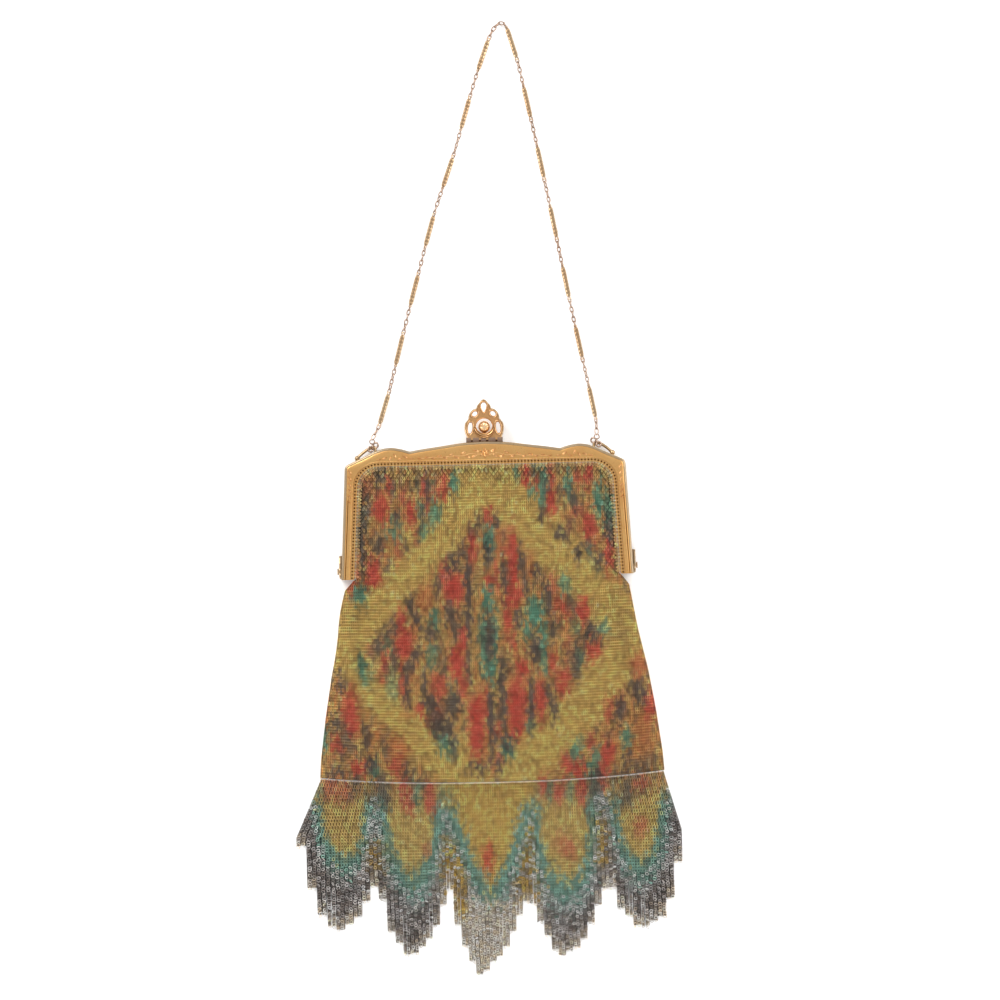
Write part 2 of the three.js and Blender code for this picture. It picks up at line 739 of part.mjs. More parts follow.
// Outside of the front and back panels at a share u of the half width
function pouchHeights(u, y) {
  const down = (-armDrop - y) / pouchBelow;
  const mouthThick = frontPanelZ - backPanelZ;
  const lofts = [...pouchLoft, { down: 1, thick: pouchFootThick / mouthThick }];
  const thick = mouthThick * readTable(lofts, 'down', 'thick', down);
  const half = pouchHalfAt(y);
  const soft = Math.min(Math.max((-armDrop - y) / edgeSoft, 0), 1);
  const toEdge = Math.min(mouthY - y, half * (1 - Math.abs(u)));
  const held = Math.max(1 - toEdge / backSoft, 0) * (1 - soft);
  const back = backPanelZ * held;
  const crown = Math.sqrt(1 - Math.abs(u) ** edgePower);
  const full = thick + backPanelZ * (1 - soft);
  const round = 1 - soft * (1 - edgeShare) * (1 - crown);
  return { back, front: full * round - foldDepth(u * half, y) * (1 - held) };
}

// A closed body between a top and a bottom height over rows of columns
function quilt(rows) {
  const columns = rows[0].length;
  const positions = [];
  for (const layer of ['top', 'bottom']) {
    for (const row of rows) {
      for (const cell of row) positions.push(cell.x, cell.y, cell[layer]);
    }
  }
  const at = (layer, row, column) => (layer * rows.length + row) * columns + column;
  const faces = [];
  const quad = (a, b, c, d) => faces.push(a, b, c, a, c, d);
  for (let row = 0; row < rows.length - 1; row += 1) {
    for (let column = 0; column < columns - 1; column += 1) {
      quad(at(0, row, column), at(0, row + 1, column), at(0, row + 1, column + 1), at(0, row, column + 1));
      quad(at(1, row, column), at(1, row, column + 1), at(1, row + 1, column + 1), at(1, row + 1, column));
    }
    const edge = columns - 1;
    quad(at(0, row, 0), at(1, row, 0), at(1, row + 1, 0), at(0, row + 1, 0));
    quad(at(0, row, edge), at(0, row + 1, edge), at(1, row + 1, edge), at(1, row, edge));
  }
  const end = rows.length - 1;
  for (let column = 0; column < columns - 1; column += 1) {
    quad(at(0, 0, column), at(0, 0, column + 1), at(1, 0, column + 1), at(1, 0, column));
    quad(at(0, end, column), at(1, end, column), at(1, end, column + 1), at(0, end, column + 1));
  }
  return new wasm.Manifold(new wasm.Mesh({
    numProp: 3,
    vertProperties: new Float32Array(positions),
    triVerts: new Uint32Array(faces),
  }));
}

function pouch() {
  const columns = [...pouchColumns.slice(1).reverse().map((share) => -share), ...pouchColumns];
  const rowYs = [
    ...cornerRows.map((share) => mouthY - share * mouthRadius),
    ...armRows.map((share) => mouthY - share * (armDrop + mouthY)),
    ...belowRows.map((share) => -armDrop - share * pouchBelow),
  ];
  const outside = rowYs.map((y) => columns.map((u) => {
    const { back, front } = pouchHeights(u, y);
    return { x: u * pouchHalfAt(y), y, top: front, bottom: back };
  }));
  const slitEnd = -armDrop - slitFoot;
  const insideYs = [mouthY + meshWall, ...rowYs.slice(1, -1), seamY + pouchSideWall];
  const inside = insideYs.map((y) => columns.map((u) => {
    const open = y > slitEnd;
    const whole = pouchHalfAt(Math.min(y, mouthY));
    const half = whole + (open ? pouchSideWall : -pouchSideWall);
    const share = Math.max(Math.min(u * half / whole, 1), -1);
    const { back, front } = pouchHeights(share, Math.min(y, mouthY));
    const bottom = back + meshWall;
    return { x: u * half, y, top: Math.max(front - meshWall, bottom + wireGap), bottom };
  }));
  return meshOf('pouch', quilt(outside).subtract(quilt(inside)), paintedMesh);
}

// How far the fringe hangs below the seam at a place across it
function fringeDrop(x) {
  const across = x / fringeHalf;
  let index = 0;
  while (index < fringeTips.length - 1 && across > fringeValleys[index + 1].across) index += 1;
  const tip = fringeTips[index];
  const valley = fringeValleys[across < tip.across ? index : index + 1];
  const share = Math.min(Math.abs((across - tip.across) / (valley.across - tip.across)), 1);
  return fringeLong * (tip.drop - (tip.drop - valley.drop) * share ** pointPower);
}

// Where a strand that leaves the head at x lies, so far below the seam
function fanned(x, below) {
  const lean = (fringeHalf - fringeHeadHalf) * Math.sign(x) * (Math.abs(x) / fringeHeadHalf) ** fanPower;
  return x + lean * Math.min(below / fanLong, 1);
}

// Strands side by side, slit apart below the solid mesh of the five points
function fringe() {
  const count = Math.round(2 * fringeHeadHalf / strandPitch);
  const edgeAt = (index) => fringeHeadHalf * (2 * index / count - 1);
  const outline = [[-fringeHeadHalf, fringeY], [fanned(-fringeHeadHalf, fanLong), fringeY - fanLong]];
  for (let strand = 0; strand < count; strand += 1) {
    const left = edgeAt(strand);
    const right = edgeAt(strand + 1);
    const middle = (left + right) / 2;
    const drop = Math.max(fringeDrop(fanned(middle, fanLong)), fanLong + strandPitch);
    const y = fringeY - drop;
    if (strand > 0) outline.push([fanned(left, slitShare * drop), fringeY - slitShare * drop]);
    outline.push([fanned(left, drop) + strandSlit / 2, y + strandTip], [fanned(middle, drop), y],
      [fanned(right, drop) - strandSlit / 2, y + strandTip]);
  }
  outline.push([fanned(fringeHeadHalf, fanLong), fringeY - fanLong], [fringeHeadHalf, fringeY]);
  return meshOf('fringe', prism(outline, 0, fringeThick), fringeMesh);
}

// Middle of an end ring, hung round the lug's wire
function ringCentre(side) {
  const slack = ringRadius - ringWire - lugWire - wireGap;
  return new THREE.Vector3(side * ringAt, lugWireY() + slack, rearWallZ);
}

function endRing(name, side) {
  const geometry = new THREE.TorusGeometry(ringRadius, ringWire, 6, 14);
  geometry.rotateY(Math.PI / 2);
  const centre = ringCentre(side);
  geometry.translate(centre.x, centre.y, centre.z);
  return meshOf(name, solid(geometry), chainGilt);
}

// Eye at the end of the chain, passed through the end ring; far is where the
// run of links leaves it
function chainEye(side) {
  const middle = ringCentre(side);
  middle.y += ringRadius - 2 * ringWire - wireGap + eyeRadius;
  const geometry = new THREE.TorusGeometry(eyeRadius, ringWire, 6, 12);
  geometry.translate(middle.x, middle.y, middle.z);
  const far = middle.clone();
  far.y += eyeRadius;
  return { body: solid(geometry), far };
}

// One flat bar along the line between two points of the route
function chainBar(from, to) {
  const outline = new THREE.Shape();
  const half = barLong / 2;
  const side = barWide / 2;
  outline.moveTo(-half, side / 3);
  outline.lineTo(-half, -side / 3);
  outline.lineTo(-half + side, -side);
  outline.lineTo(half - side, -side);
  outline.lineTo(half, -side / 3);
  outline.lineTo(half, side / 3);
  outline.lineTo(half - side, side);
  outline.lineTo(-half + side, side);
  const geometry = new THREE.ExtrudeGeometry(outline, {
    depth: barThick - 2 * barBevel,
    bevelThickness: barBevel,
    bevelSize: barBevel,
    bevelOffset: -barBevel,
    bevelSegments: 1,
  });
  geometry.translate(0, 0, -barThick / 2 + barBevel);
  geometry.rotateZ(Math.atan2(to.y - from.y, to.x - from.x));
  const middle = from.clone().add(to).multiplyScalar(0.5);
  geometry.translate(middle.x, middle.y, middle.z);
  return solid(geometry);
}

// Bars joined by runs of small links, all in one solid between the two eyes
function chain() {
  const left = chainEye(-1);
  const right = chainEye(1);
  const onSurface = chainRoute.map(([x, y]) => new THREE.Vector3(x, y, linkTube));
  const curve = new THREE.CatmullRomCurve3([left.far, ...onSurface, right.far], false, 'centripetal');
  curve.arcLengthDivisions = 2000;
  const length = curve.getLength();
  const at = (distance) => curve.getPointAt(Math.min(Math.max(distance / length, 0), 1));
  const barPitch = (length - 2 * barLead - barLong) / (barCount - 1);
  const pieces = [left.body, right.body];
  let free = 0;
  for (let index = 0; index <= barCount; index += 1) {
    const start = index < barCount ? barLead + index * barPitch : length;
    const from = free > 0 ? free - overlap : 0;
    const to = index < barCount ? start + overlap : length;
    const steps = 4;
    const run = Array.from({ length: steps + 1 }, (_, step) => at(from + step / steps * (to - from)));
    pieces.push(wire(run.map((point) => point.toArray()), linkTube, 8, 3));
    if (index < barCount) pieces.push(chainBar(at(start), at(start + barLong)));
    free = start + barLong;
  }
  return meshOf('chain', joined(pieces), chainGilt);
}

const group = new THREE.Group();
group.add(
  frameFront(),
  frameRear(),
  hingeRivet('hinge_rivet_left', -1),
  hingeRivet('hinge_rivet_right', 1),
  claspCrest(),
  claspButton(),
  pouch(),
  fringe(),
  chain(),
  endRing('chain_ring_left', -1),
  endRing('chain_ring_right', 1),
);
group.position.y = -backFaceY;
group.updateMatrixWorld(true);

export default group;
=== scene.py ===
# A metal mesh evening purse with a stamped gilt frame, lying flat and seen from straight above.
# Shapes are worked out in millimetres, with heights along Y measured from the frame's sewing holes.
import math

import bpy
import numpy as np
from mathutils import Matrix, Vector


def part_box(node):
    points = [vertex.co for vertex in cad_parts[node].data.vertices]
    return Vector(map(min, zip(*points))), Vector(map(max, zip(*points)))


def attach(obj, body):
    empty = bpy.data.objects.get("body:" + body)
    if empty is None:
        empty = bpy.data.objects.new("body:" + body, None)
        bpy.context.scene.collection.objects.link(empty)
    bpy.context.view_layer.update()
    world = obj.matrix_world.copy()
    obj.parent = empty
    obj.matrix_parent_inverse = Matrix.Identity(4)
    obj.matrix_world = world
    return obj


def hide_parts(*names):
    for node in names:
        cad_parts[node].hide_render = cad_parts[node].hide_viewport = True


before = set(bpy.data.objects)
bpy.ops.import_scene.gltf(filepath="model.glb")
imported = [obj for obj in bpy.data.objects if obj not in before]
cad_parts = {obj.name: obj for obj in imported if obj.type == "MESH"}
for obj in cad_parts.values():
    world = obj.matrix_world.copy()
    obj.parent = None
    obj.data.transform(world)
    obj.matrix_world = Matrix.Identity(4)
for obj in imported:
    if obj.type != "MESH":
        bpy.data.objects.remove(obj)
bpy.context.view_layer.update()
mm = 0.001
random = np.random.default_rng(11)

purse = {
    "crownRise": 8.2,  # sewing holes to the frame's top edge
    "halfDepth": 4.3,  # one stamped half
    "meeting": 0.3,  # room between the halves
    "shoulderHalf": 56,
    "footHalf": 58.3,
    "mouthHalfTop": 52,
    "mouthHalfFoot": 54.1,
    "mouthRadius": 9.5,
    "armDrop": 45.8,
    "pouchBelow": 82.3,
}
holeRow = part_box("frame_front")[1].y / mm - purse["crownRise"]


# Tables and curves

def readTable(table, at):
    # straight lines between the table's points
    return np.interp(at, table[:, 0], table[:, 1])


def smoothTable(table, at):
    # cubic through the points, each slope the mean of the slopes beside it
    x, y = table[:, 0], table[:, 1]
    slope = np.gradient(y, x)
    k = np.clip(np.searchsorted(x, at) - 1, 0, len(x) - 2)
    width = x[k + 1] - x[k]
    t = np.clip((at - x[k]) / width, 0, 1)
    bend = (2 * t**3 - 3 * t**2 + 1) * y[k] + (3 * t**2 - 2 * t**3) * y[k + 1]
    return bend + width * ((t**3 - 2 * t**2 + t) * slope[k] + (t**3 - t**2) * slope[k + 1])


def smoothCurve(points, count, closed=False):
    # Catmull-Rom curve through the points, count places evenly along its length
    points = np.asarray(points, float)
    if closed:
        points = np.vstack([points[-1], points, points[:2]])
    else:
        points = np.vstack([2 * points[0] - points[1], points, 2 * points[-1] - points[-2]])
    a, b, c, d = points[:-3], points[1:-2], points[2:-1], points[3:]
    t = np.linspace(0, 1, 24, endpoint=False)[None, :, None]
    bend = 0.5 * (2 * b[:, None] + (c - a)[:, None] * t + (2 * a - 5 * b + 4 * c - d)[:, None] * t**2
                  + (3 * b - a - 3 * c + d)[:, None] * t**3)
    line = np.vstack([bend.reshape(-1, points.shape[1]), points[-2]])
    return evenly(line, count, closed)


def evenly(line, count, closed=False):
    # places at equal distances along a line of points
    reach = np.concatenate([[0], np.cumsum(np.linalg.norm(np.diff(line, axis=0), axis=1))])
    at = np.linspace(0, reach[-1], count, endpoint=not closed)
    return np.stack([np.interp(at, reach, line[:, axis]) for axis in range(line.shape[1])], axis=1)


def unit(vectors):
    return vectors / np.maximum(np.linalg.norm(vectors, axis=-1, keepdims=True), 1e-9)


def softStep(low, high, at):
    t = np.clip((at - low) / (high - low), 0, 1)
    return t * t * (3 - 2 * t)


# Meshes

def gridQuads(rows, columns, closeRows=False, closeColumns=False):
    # faces of a grid of points, joined round where it closes
    r = np.arange(rows if closeRows else rows - 1)[:, None]
    c = np.arange(columns if closeColumns else columns - 1)[None, :]
    nextRow, nextColumn = (r + 1) % rows, (c + 1) % columns
    corners = [r * columns + c, r * columns + nextColumn, nextRow * columns + nextColumn, nextRow * columns + c]
    return np.stack(np.broadcast_arrays(*corners), axis=-1).reshape(-1, 4)


def outward(points, faces):
    # a closed mesh whose volume comes out below zero is turned the right way round
    a, b, c, d = (points[faces[:, k]] for k in range(4))
    volume = np.einsum("ij,ij->", a, np.cross(b, c)) + np.einsum("ij,ij->", a, np.cross(c, d))
    return faces[:, ::-1] if volume < 0 else faces


def repeated(faces, count, size):
    # one shape's faces again for each of count shapes, whose points follow on, size points each
    return (faces[None] + (np.arange(count) * size)[:, None, None]).reshape(-1, 4)


def joinParts(parts):
    # several (points, faces) as one
    points, faces, start = [], [], 0
    for somePoints, someFaces in parts:
        points.append(somePoints)
        faces.append(np.asarray(someFaces) + start)
        start += len(somePoints)
    return np.vstack(points), np.vstack(faces)


def addPiece(name, points, faces, material, smooth=True, attributes=None, crease=None):
    mesh = bpy.data.meshes.new(name)
    place = (np.asarray(points, float) + (0, holeRow, 0)) * mm
    mesh.from_pydata(place.tolist(), [], [tuple(dict.fromkeys(face)) for face in np.asarray(faces).tolist()])
    mesh.polygons.foreach_set("use_smooth", np.full(len(mesh.polygons), smooth))
    for key, values in (attributes or {}).items():
        values = np.asarray(values, np.float32)
        if values.ndim == 2:
            colours = np.ones((len(values), 4), np.float32)
            colours[:, :3] = values
            mesh.color_attributes.new(key, "FLOAT_COLOR", "POINT").data.foreach_set("color", colours.ravel())
        else:
            mesh.attributes.new(key, "FLOAT", "POINT").data.foreach_set("value", values)
    mesh.materials.append(material)
    mesh.update()
    if crease is not None:
        mesh.set_sharp_from_angle(angle=math.radians(crease))
    piece = bpy.data.objects.new(name, mesh)
    bpy.context.scene.collection.objects.link(piece)
    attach(piece, "root")
    return piece


def sweep(path, section, closed=False, upright=(0, 0, 1)):
    # a closed section carried along a path: its first axis lies across the path, its second along upright
    path, section = np.asarray(path, float), np.asarray(section, float)
    if closed:
        along = unit(np.roll(path, -1, axis=0) - np.roll(path, 1, axis=0))
    else:
        along = unit(np.gradient(path, axis=0))
    across = unit(np.cross(along, np.broadcast_to(np.asarray(upright, float), along.shape)))
    lift = np.cross(across, along)
    if section.ndim == 2:
        section = np.broadcast_to(section, (len(path), *section.shape))
    points = (path[:, None] + section[..., :1] * across[:, None] + section[..., 1:] * lift[:, None])
    faces = gridQuads(len(path), section.shape[1], closeRows=closed, closeColumns=True)
    points = points.reshape(-1, 3)
    if not closed:
        faces = np.vstack([faces, endCaps(len(path), section.shape[1])])
    return points, outward(points, faces)


def endCaps(rows, columns):
    # quads that close a tube's two ends, laid as strips across the section
    k = np.arange(columns // 2 - 1)
    strip = np.stack([k, k + 1, columns - 2 - k, columns - 1 - k], axis=1)
    return np.vstack([strip[:, ::-1], strip + (rows - 1) * columns])


def roundSection(radius, count, flat=1.0):
    turn = np.arange(count) / count * 2 * np.pi
    return np.stack([radius * np.cos(turn), flat * radius * np.sin(turn)], axis=1)


def turned(profile, centre, count=32):
    # a profile of (radius, height) spun round a line along Z
    turn = np.arange(count) / count * 2 * np.pi
    radius, height = profile[:, 0, None], profile[:, 1, None]
    points = np.stack(np.broadcast_arrays(radius * np.cos(turn), radius * np.sin(turn), height), axis=-1)
    faces = gridQuads(len(profile), count, closeColumns=True)
    points = points.reshape(-1, 3) + centre
    return points, outward(points, faces)


def ringCloud(centres, across, up, radii, wire, around=6, sides=3):
    # rings given by centre, two unit axes and two radii, all in one mesh
    a = (np.arange(around) + 0.5) / around * 2 * np.pi
    b = np.arange(sides) / sides * 2 * np.pi + np.pi / 2
    normal = np.cross(across, up)
    wide = radii[:, :1] + wire[:, None] * np.cos(b)[None, :]
    tall = radii[:, 1:] + wire[:, None] * np.cos(b)[None, :]
    lift = wire[:, None] * np.sin(b)[None, :]
    points = (centres[:, None, None]
              + (wide[:, None, :] * np.cos(a)[None, :, None])[..., None] * across[:, None, None]
              + (tall[:, None, :] * np.sin(a)[None, :, None])[..., None] * up[:, None, None]
              + np.broadcast_to(lift[:, None, :], (len(centres), around, sides))[..., None] * normal[:, None, None])
    one = gridQuads(around, sides, closeRows=True, closeColumns=True)
    one = outward(points[0].reshape(-1, 3) - centres[0], one)
    return points.reshape(-1, 3), repeated(one, len(centres), around * sides)


# Colours are written as the eye sees them, 0 to 255, and turned into light values

def light(colour):
    c = np.asarray(colour, float) / 255
    return np.where(c <= 0.04045, c / 12.92, ((c + 0.055) / 1.055) ** 2.4)


def rgba(colour):
    return (*light(colour), 1.0)


def addNode(tree, kind, inputs=None, **settings):
    node = tree.nodes.new(kind)
    for key, value in settings.items():
        setattr(node, key, value)
    for key, value in (inputs or {}).items():
        if isinstance(value, bpy.types.NodeSocket):
            tree.links.new(value, node.inputs[key])
        else:
            node.inputs[key].default_value = value
    return node


def newGroup(name, inputs, outputs):
    tree = bpy.data.node_groups.new(name, "ShaderNodeTree")
    for direction, sockets in (("INPUT", inputs), ("OUTPUT", outputs)):
        for label, kind, start in sockets:
            socket = tree.interface.new_socket(label, in_out=direction, socket_type="NodeSocket" + kind)
            if start is not None:
                socket.default_value = start
    return tree, tree.nodes.new("NodeGroupInput").outputs, tree.nodes.new("NodeGroupOutput")


def mixColour(tree, share, first, second, blend="MIX"):
    node = addNode(tree, "ShaderNodeMix", {0: share, 6: first, 7: second}, data_type="RGBA", blend_type=blend)
    return node.outputs[2]


def math1(tree, operation, first, second=0.0, third=0.0, clamp=False):
    node = addNode(tree, "ShaderNodeMath", {0: first, 1: second, 2: third}, operation=operation, use_clamp=clamp)
    return node.outputs[0]


def ranged(tree, value, low, high, toLow=0.0, toHigh=1.0):
    node = addNode(tree, "ShaderNodeMapRange", {"Value": value, "From Min": low, "From Max": high,
                                                "To Min": toLow, "To Max": toHigh})
    return node.outputs["Result"]


def noise(tree, vector, scale, detail=3.0, rough=0.5):
    node = addNode(tree, "ShaderNodeTexNoise", {"Vector": vector, "Scale": scale, "Detail": detail,
                                                "Roughness": rough})
    return node.outputs["Fac"]


def newMaterial(name):
    material = bpy.data.materials.new(name)
    material.use_nodes = True
    return material, material.node_tree, material.node_tree.nodes["Principled BSDF"]


# Age on gilt metal: cloudy toning, fine scratches and rubbed, greyer places under a mask
agedMetal, groupIn, groupOut = newGroup(
    "agedMetal",
    [("Colour", "Color", rgba((205, 152, 88))), ("Rubbed Colour", "Color", rgba((165, 145, 115))),
     ("Rub", "Float", 0.0), ("Smooth", "Float", 0.3)],
    [("Colour", "Color", None), ("Roughness", "Float", None), ("Height", "Float", None)])
place = addNode(agedMetal, "ShaderNodeTexCoord").outputs["Object"]
cloud = noise(agedMetal, place, 90, 4)
speckle = noise(agedMetal, place, 1400, 3, 0.6)
scratch = noise(agedMetal, addNode(agedMetal, "ShaderNodeMapping", {"Vector": place, "Scale": (400, 4000, 900)},
                                   ).outputs[0], 1.0, 2)
toned = mixColour(agedMetal, ranged(agedMetal, cloud, 0.35, 0.7, 0.0, 0.45), groupIn["Colour"],
                  mixColour(agedMetal, 1.0, groupIn["Colour"], rgba((214, 176, 150)), "MULTIPLY"))
toned = mixColour(agedMetal, ranged(agedMetal, speckle, 0.55, 0.8, 0.0, 0.35), toned,
                  mixColour(agedMetal, 1.0, toned, rgba((150, 120, 95)), "MULTIPLY"))
rubbed = math1(agedMetal, "MULTIPLY", groupIn["Rub"], ranged(agedMetal, cloud, 0.3, 0.6, 0.7, 1.0), clamp=True)
agedMetal.links.new(mixColour(agedMetal, rubbed, toned, groupIn["Rubbed Colour"]), groupOut.inputs["Colour"])
uneven = math1(agedMetal, "MULTIPLY_ADD", math1(agedMetal, "SUBTRACT", speckle, 0.5), 0.35, groupIn["Smooth"])
agedMetal.links.new(math1(agedMetal, "MULTIPLY_ADD", math1(agedMetal, "SUBTRACT", cloud, 0.5), 0.25, uneven),
                    groupOut.inputs["Roughness"])
agedMetal.links.new(math1(agedMetal, "MULTIPLY_ADD", scratch, 0.5, speckle), groupOut.inputs["Height"])


def metal(name, colour, rubbedColour, smooth, rubName=None, hollowName=None):
    material, tree, shader = newMaterial(name)
    shader.inputs["Metallic"].default_value = 1.0
    aged = addNode(tree, "ShaderNodeGroup", {}, node_tree=agedMetal)
    aged.inputs["Colour"].default_value = rgba(colour)
    aged.inputs["Rubbed Colour"].default_value = rgba(rubbedColour)
    aged.inputs["Smooth"].default_value = smooth
    if rubName:
        rub = addNode(tree, "ShaderNodeAttribute", attribute_name=rubName)
        tree.links.new(rub.outputs["Fac"], aged.inputs["Rub"])
    colourOut = aged.outputs["Colour"]
    # painted shade, partly tarnish: the colour darkens towards brown where the hollow mask is set, in holes, slots,
    # grooves and sunk faces
    if hollowName:
        hollow = addNode(tree, "ShaderNodeAttribute", attribute_name=hollowName)
        dark = mixColour(tree, 1.0, colourOut, rgba((104, 66, 42)), "MULTIPLY")
        colourOut = mixColour(tree, hollow.outputs["Fac"], colourOut, dark)
    tree.links.new(colourOut, shader.inputs["Base Color"])
    tree.links.new(aged.outputs["Roughness"], shader.inputs["Roughness"])
    raised = addNode(tree, "ShaderNodeBump", {"Height": aged.outputs["Height"], "Distance": 0.00002, "Strength": 0.6})
    tree.links.new(raised.outputs[0], shader.inputs["Normal"])
    return material


frameGilt = metal("frameGilt", (217, 171, 108), (168, 150, 124), 0.36, rubName="rim", hollowName="hollow")
claspGilt = metal("claspGilt", (222, 180, 128), (188, 168, 140), 0.3, rubName="rim", hollowName="hollow")
# the crest's plate between the ribs is a darker gilt: painted shade in its recesses
claspDark = metal("claspDark", (208, 166, 116), (150, 130, 110), 0.38)
chainGilt = metal("chainGilt", (208, 182, 146), (190, 150, 110), 0.36, hollowName="hollow")
# the raised relief is a paler gilt: painted highlight, partly rubbed wear
reliefGilt = metal("reliefGilt", (228, 186, 130), (190, 150, 110), 0.34)
footMetal = metal("footMetal", (138, 116, 100), (150, 130, 110), 0.45, hollowName="hollow")
domeGilt = metal("domeGilt", (244, 212, 164), (190, 150, 110), 0.36, hollowName="hollow")
linkSilver = metal("linkSilver", (178, 156, 140), (150, 130, 110), 0.3)
rivetBrass = metal("rivetBrass", (186, 158, 124), (150, 130, 110), 0.32)


view = {
    "centre": (5.64, -15.34),  # middle of the photograph, from the sewing holes
    "turn": -1.35,
    "wide": 400,
    "high": 2200,
}

camera = bpy.data.objects.new("camera", bpy.data.cameras.new("camera"))
camera.data.sensor_width = 36
camera.data.lens = 36 * view["high"] / view["wide"]
camera.data.clip_end = 20
camera.location = np.array((*view["centre"], view["high"])) * mm + (0, holeRow * mm, 0)
camera.rotation_euler = (0, 0, math.radians(view["turn"]))
bpy.context.scene.collection.objects.link(camera)
bpy.context.scene.camera = camera

floorMaterial, _, floorShader = newMaterial("paleFloor")
floorShader.inputs["Base Color"].default_value = (0.93, 0.93, 0.93, 1)
floorShader.inputs["Roughness"].default_value = 0.9
floorShader.inputs["Specular IOR Level"].default_value = 0.1
floorShader.inputs["Emission Color"].default_value = (1, 1, 1, 1)
floorShader.inputs["Emission Strength"].default_value = 0.2
floorMesh = bpy.data.meshes.new("floor")
floorMesh.from_pydata([(-4, -4, 0), (4, -4, 0), (4, 4, 0), (-4, 4, 0)], [], [(0, 1, 2, 3)])
floorMesh.materials.append(floorMaterial)
floor = bpy.data.objects.new("floor", floorMesh)
floor.location.z = -0.00005
bpy.context.scene.collection.objects.link(floor)


def softLight(name, place, aim, size, power):
    lamp = bpy.data.objects.new(name, bpy.data.lights.new(name, "AREA"))
    lamp.data.shape = "SQUARE"
    lamp.data.size = size
    lamp.data.energy = power
    lamp.location = place
    toAim = np.array(aim, float) - place
    lamp.rotation_euler = (math.acos(-toAim[2] / np.linalg.norm(toAim)), 0,
                           math.atan2(toAim[1], toAim[0]) - math.pi / 2)
    bpy.context.scene.collection.objects.link(lamp)


softLight("lampUpperLeft", (-1.1, 1.2, 1.5), (0, 0, 0), 1.0, 30)
softLight("lampRight", (1.4, 0.5, 1.3), (0, 0, 0), 1.1, 16)
softLight("lampBelow", (0.2, -1.6, 1.3), (0, 0, 0), 1.0, 10)
world = bpy.data.worlds.new("studio")
world.use_nodes = True
world.node_tree.nodes["Background"].inputs["Color"].default_value = (1, 1, 1, 1)
world.node_tree.nodes["Background"].inputs["Strength"].default_value = 0.72
bpy.context.scene.world = world
bpy.context.scene.view_settings.view_transform = "Standard"
print("camera, floor and lights are set")


# Frame: two stamped halves, each a sheet section carried along the mouth

stamping = {
    "sheet": 0.8,
    "step": 0.8,  # sewing holes to the raised face
    "lip": 0.9,  # sewing holes to the flange's edge
    "flangeTop": 3.55,  # above the meeting plane
    "holePitch": 1.33,
    "holeRadius": 0.36,
    "holeSides": 12,
    "holeShade": (0.0, 0.12, 1.6, 1.6, 0.9, 0.0),  # painted shade from the flange's face down the hole and to its back
    "stationStep": 0.63,
    "crown": 0.14,  # the face swells a little between rim and step
    "topEdge": [(0, 1), (0.14, 0.955), (0.32, 0.8), (0.49, 0.64), (0.535, 0.585)],  # shares out and up
    "hump": [(0.535, 0.585), (0.577, 0.68), (0.62, 0.75), (0.666, 0.79), (0.711, 0.765), (0.789, 0.6),
             (0.855, 0.39), (0.932, 0.15), (0.985, -0.01)],
}


def topEdgeY(x):
    # the crown's bow out to the notch, and the shoulder's hump beyond it
    share = np.abs(np.asarray(x, float)) / purse["shoulderHalf"]
    bow = smoothTable(np.array(stamping["topEdge"]), share)
    hump = smoothTable(np.array(stamping["hump"]), share)
    return purse["crownRise"] * np.where(share < stamping["hump"][0][0], bow, hump)


def outerEdge():
    x = np.concatenate([np.arange(0, 55.1, 0.25), [55.16]])
    right = np.column_stack([x, topEdgeY(x)])
    corner = smoothCurve([(55.16, -0.08), (55.75, -0.65), (56, -1.6)], 8)
    arm = evenly(np.array([(56, -1.6), (purse["footHalf"], -purse["armDrop"])]), 60)
    right = np.vstack([right, corner[1:], arm[1:]])
    left = right[:0:-1] * (-1, 1)
    return np.vstack([left, right])


def mouthLine(step):
    # places along the row of sewing holes from the left arm's end to the right one, and the way out from each
    radius, half = purse["mouthRadius"], purse["mouthHalfTop"]
    turn = np.linspace(0, np.pi / 2, 60)
    arc = np.column_stack([half - radius + radius * np.cos(turn), -radius + radius * np.sin(turn)])
    right = np.vstack([[purse["mouthHalfFoot"], -purse["armDrop"]], arc, [0, 0]])
    line = np.vstack([right * (-1, 1), right[-2::-1]])
    length = np.linalg.norm(np.diff(line, axis=0), axis=1).sum()
    places = evenly(line, int(round(length / step)) + 1)
    fromCorner = places - np.column_stack([np.sign(places[:, 0]) * (half - radius), np.full(len(places), -radius)])
    out = np.where((np.abs(places[:, 0]) > half - radius)[:, None], fromCorner, (0, 1))
    sideways = np.column_stack([np.sign(places[:, 0]), np.zeros(len(places))])
    out = np.where((places[:, 1] < -radius)[:, None], sideways, out)
    return places, unit(out)


def reachOut(places, out, edge):
    # distance from each place along its way out to the frame's outer edge
    a, b = edge[:-1], edge[1:]
    side = b - a
    gap = a[None] - places[:, None]
    cross = out[:, None, 0] * side[None, :, 1] - out[:, None, 1] * side[None, :, 0]
    cross = np.where(np.abs(cross) < 1e-9, 1e-9, cross)
    far = (gap[..., 0] * side[None, :, 1] - gap[..., 1] * side[None, :, 0]) / cross
    share = (gap[..., 0] * out[:, None, 1] - gap[..., 1] * out[:, None, 0]) / cross
    far = np.where((far > 0) & (share >= -1e-6) & (share <= 1 + 1e-6), far, np.inf)
    return far.min(axis=1)


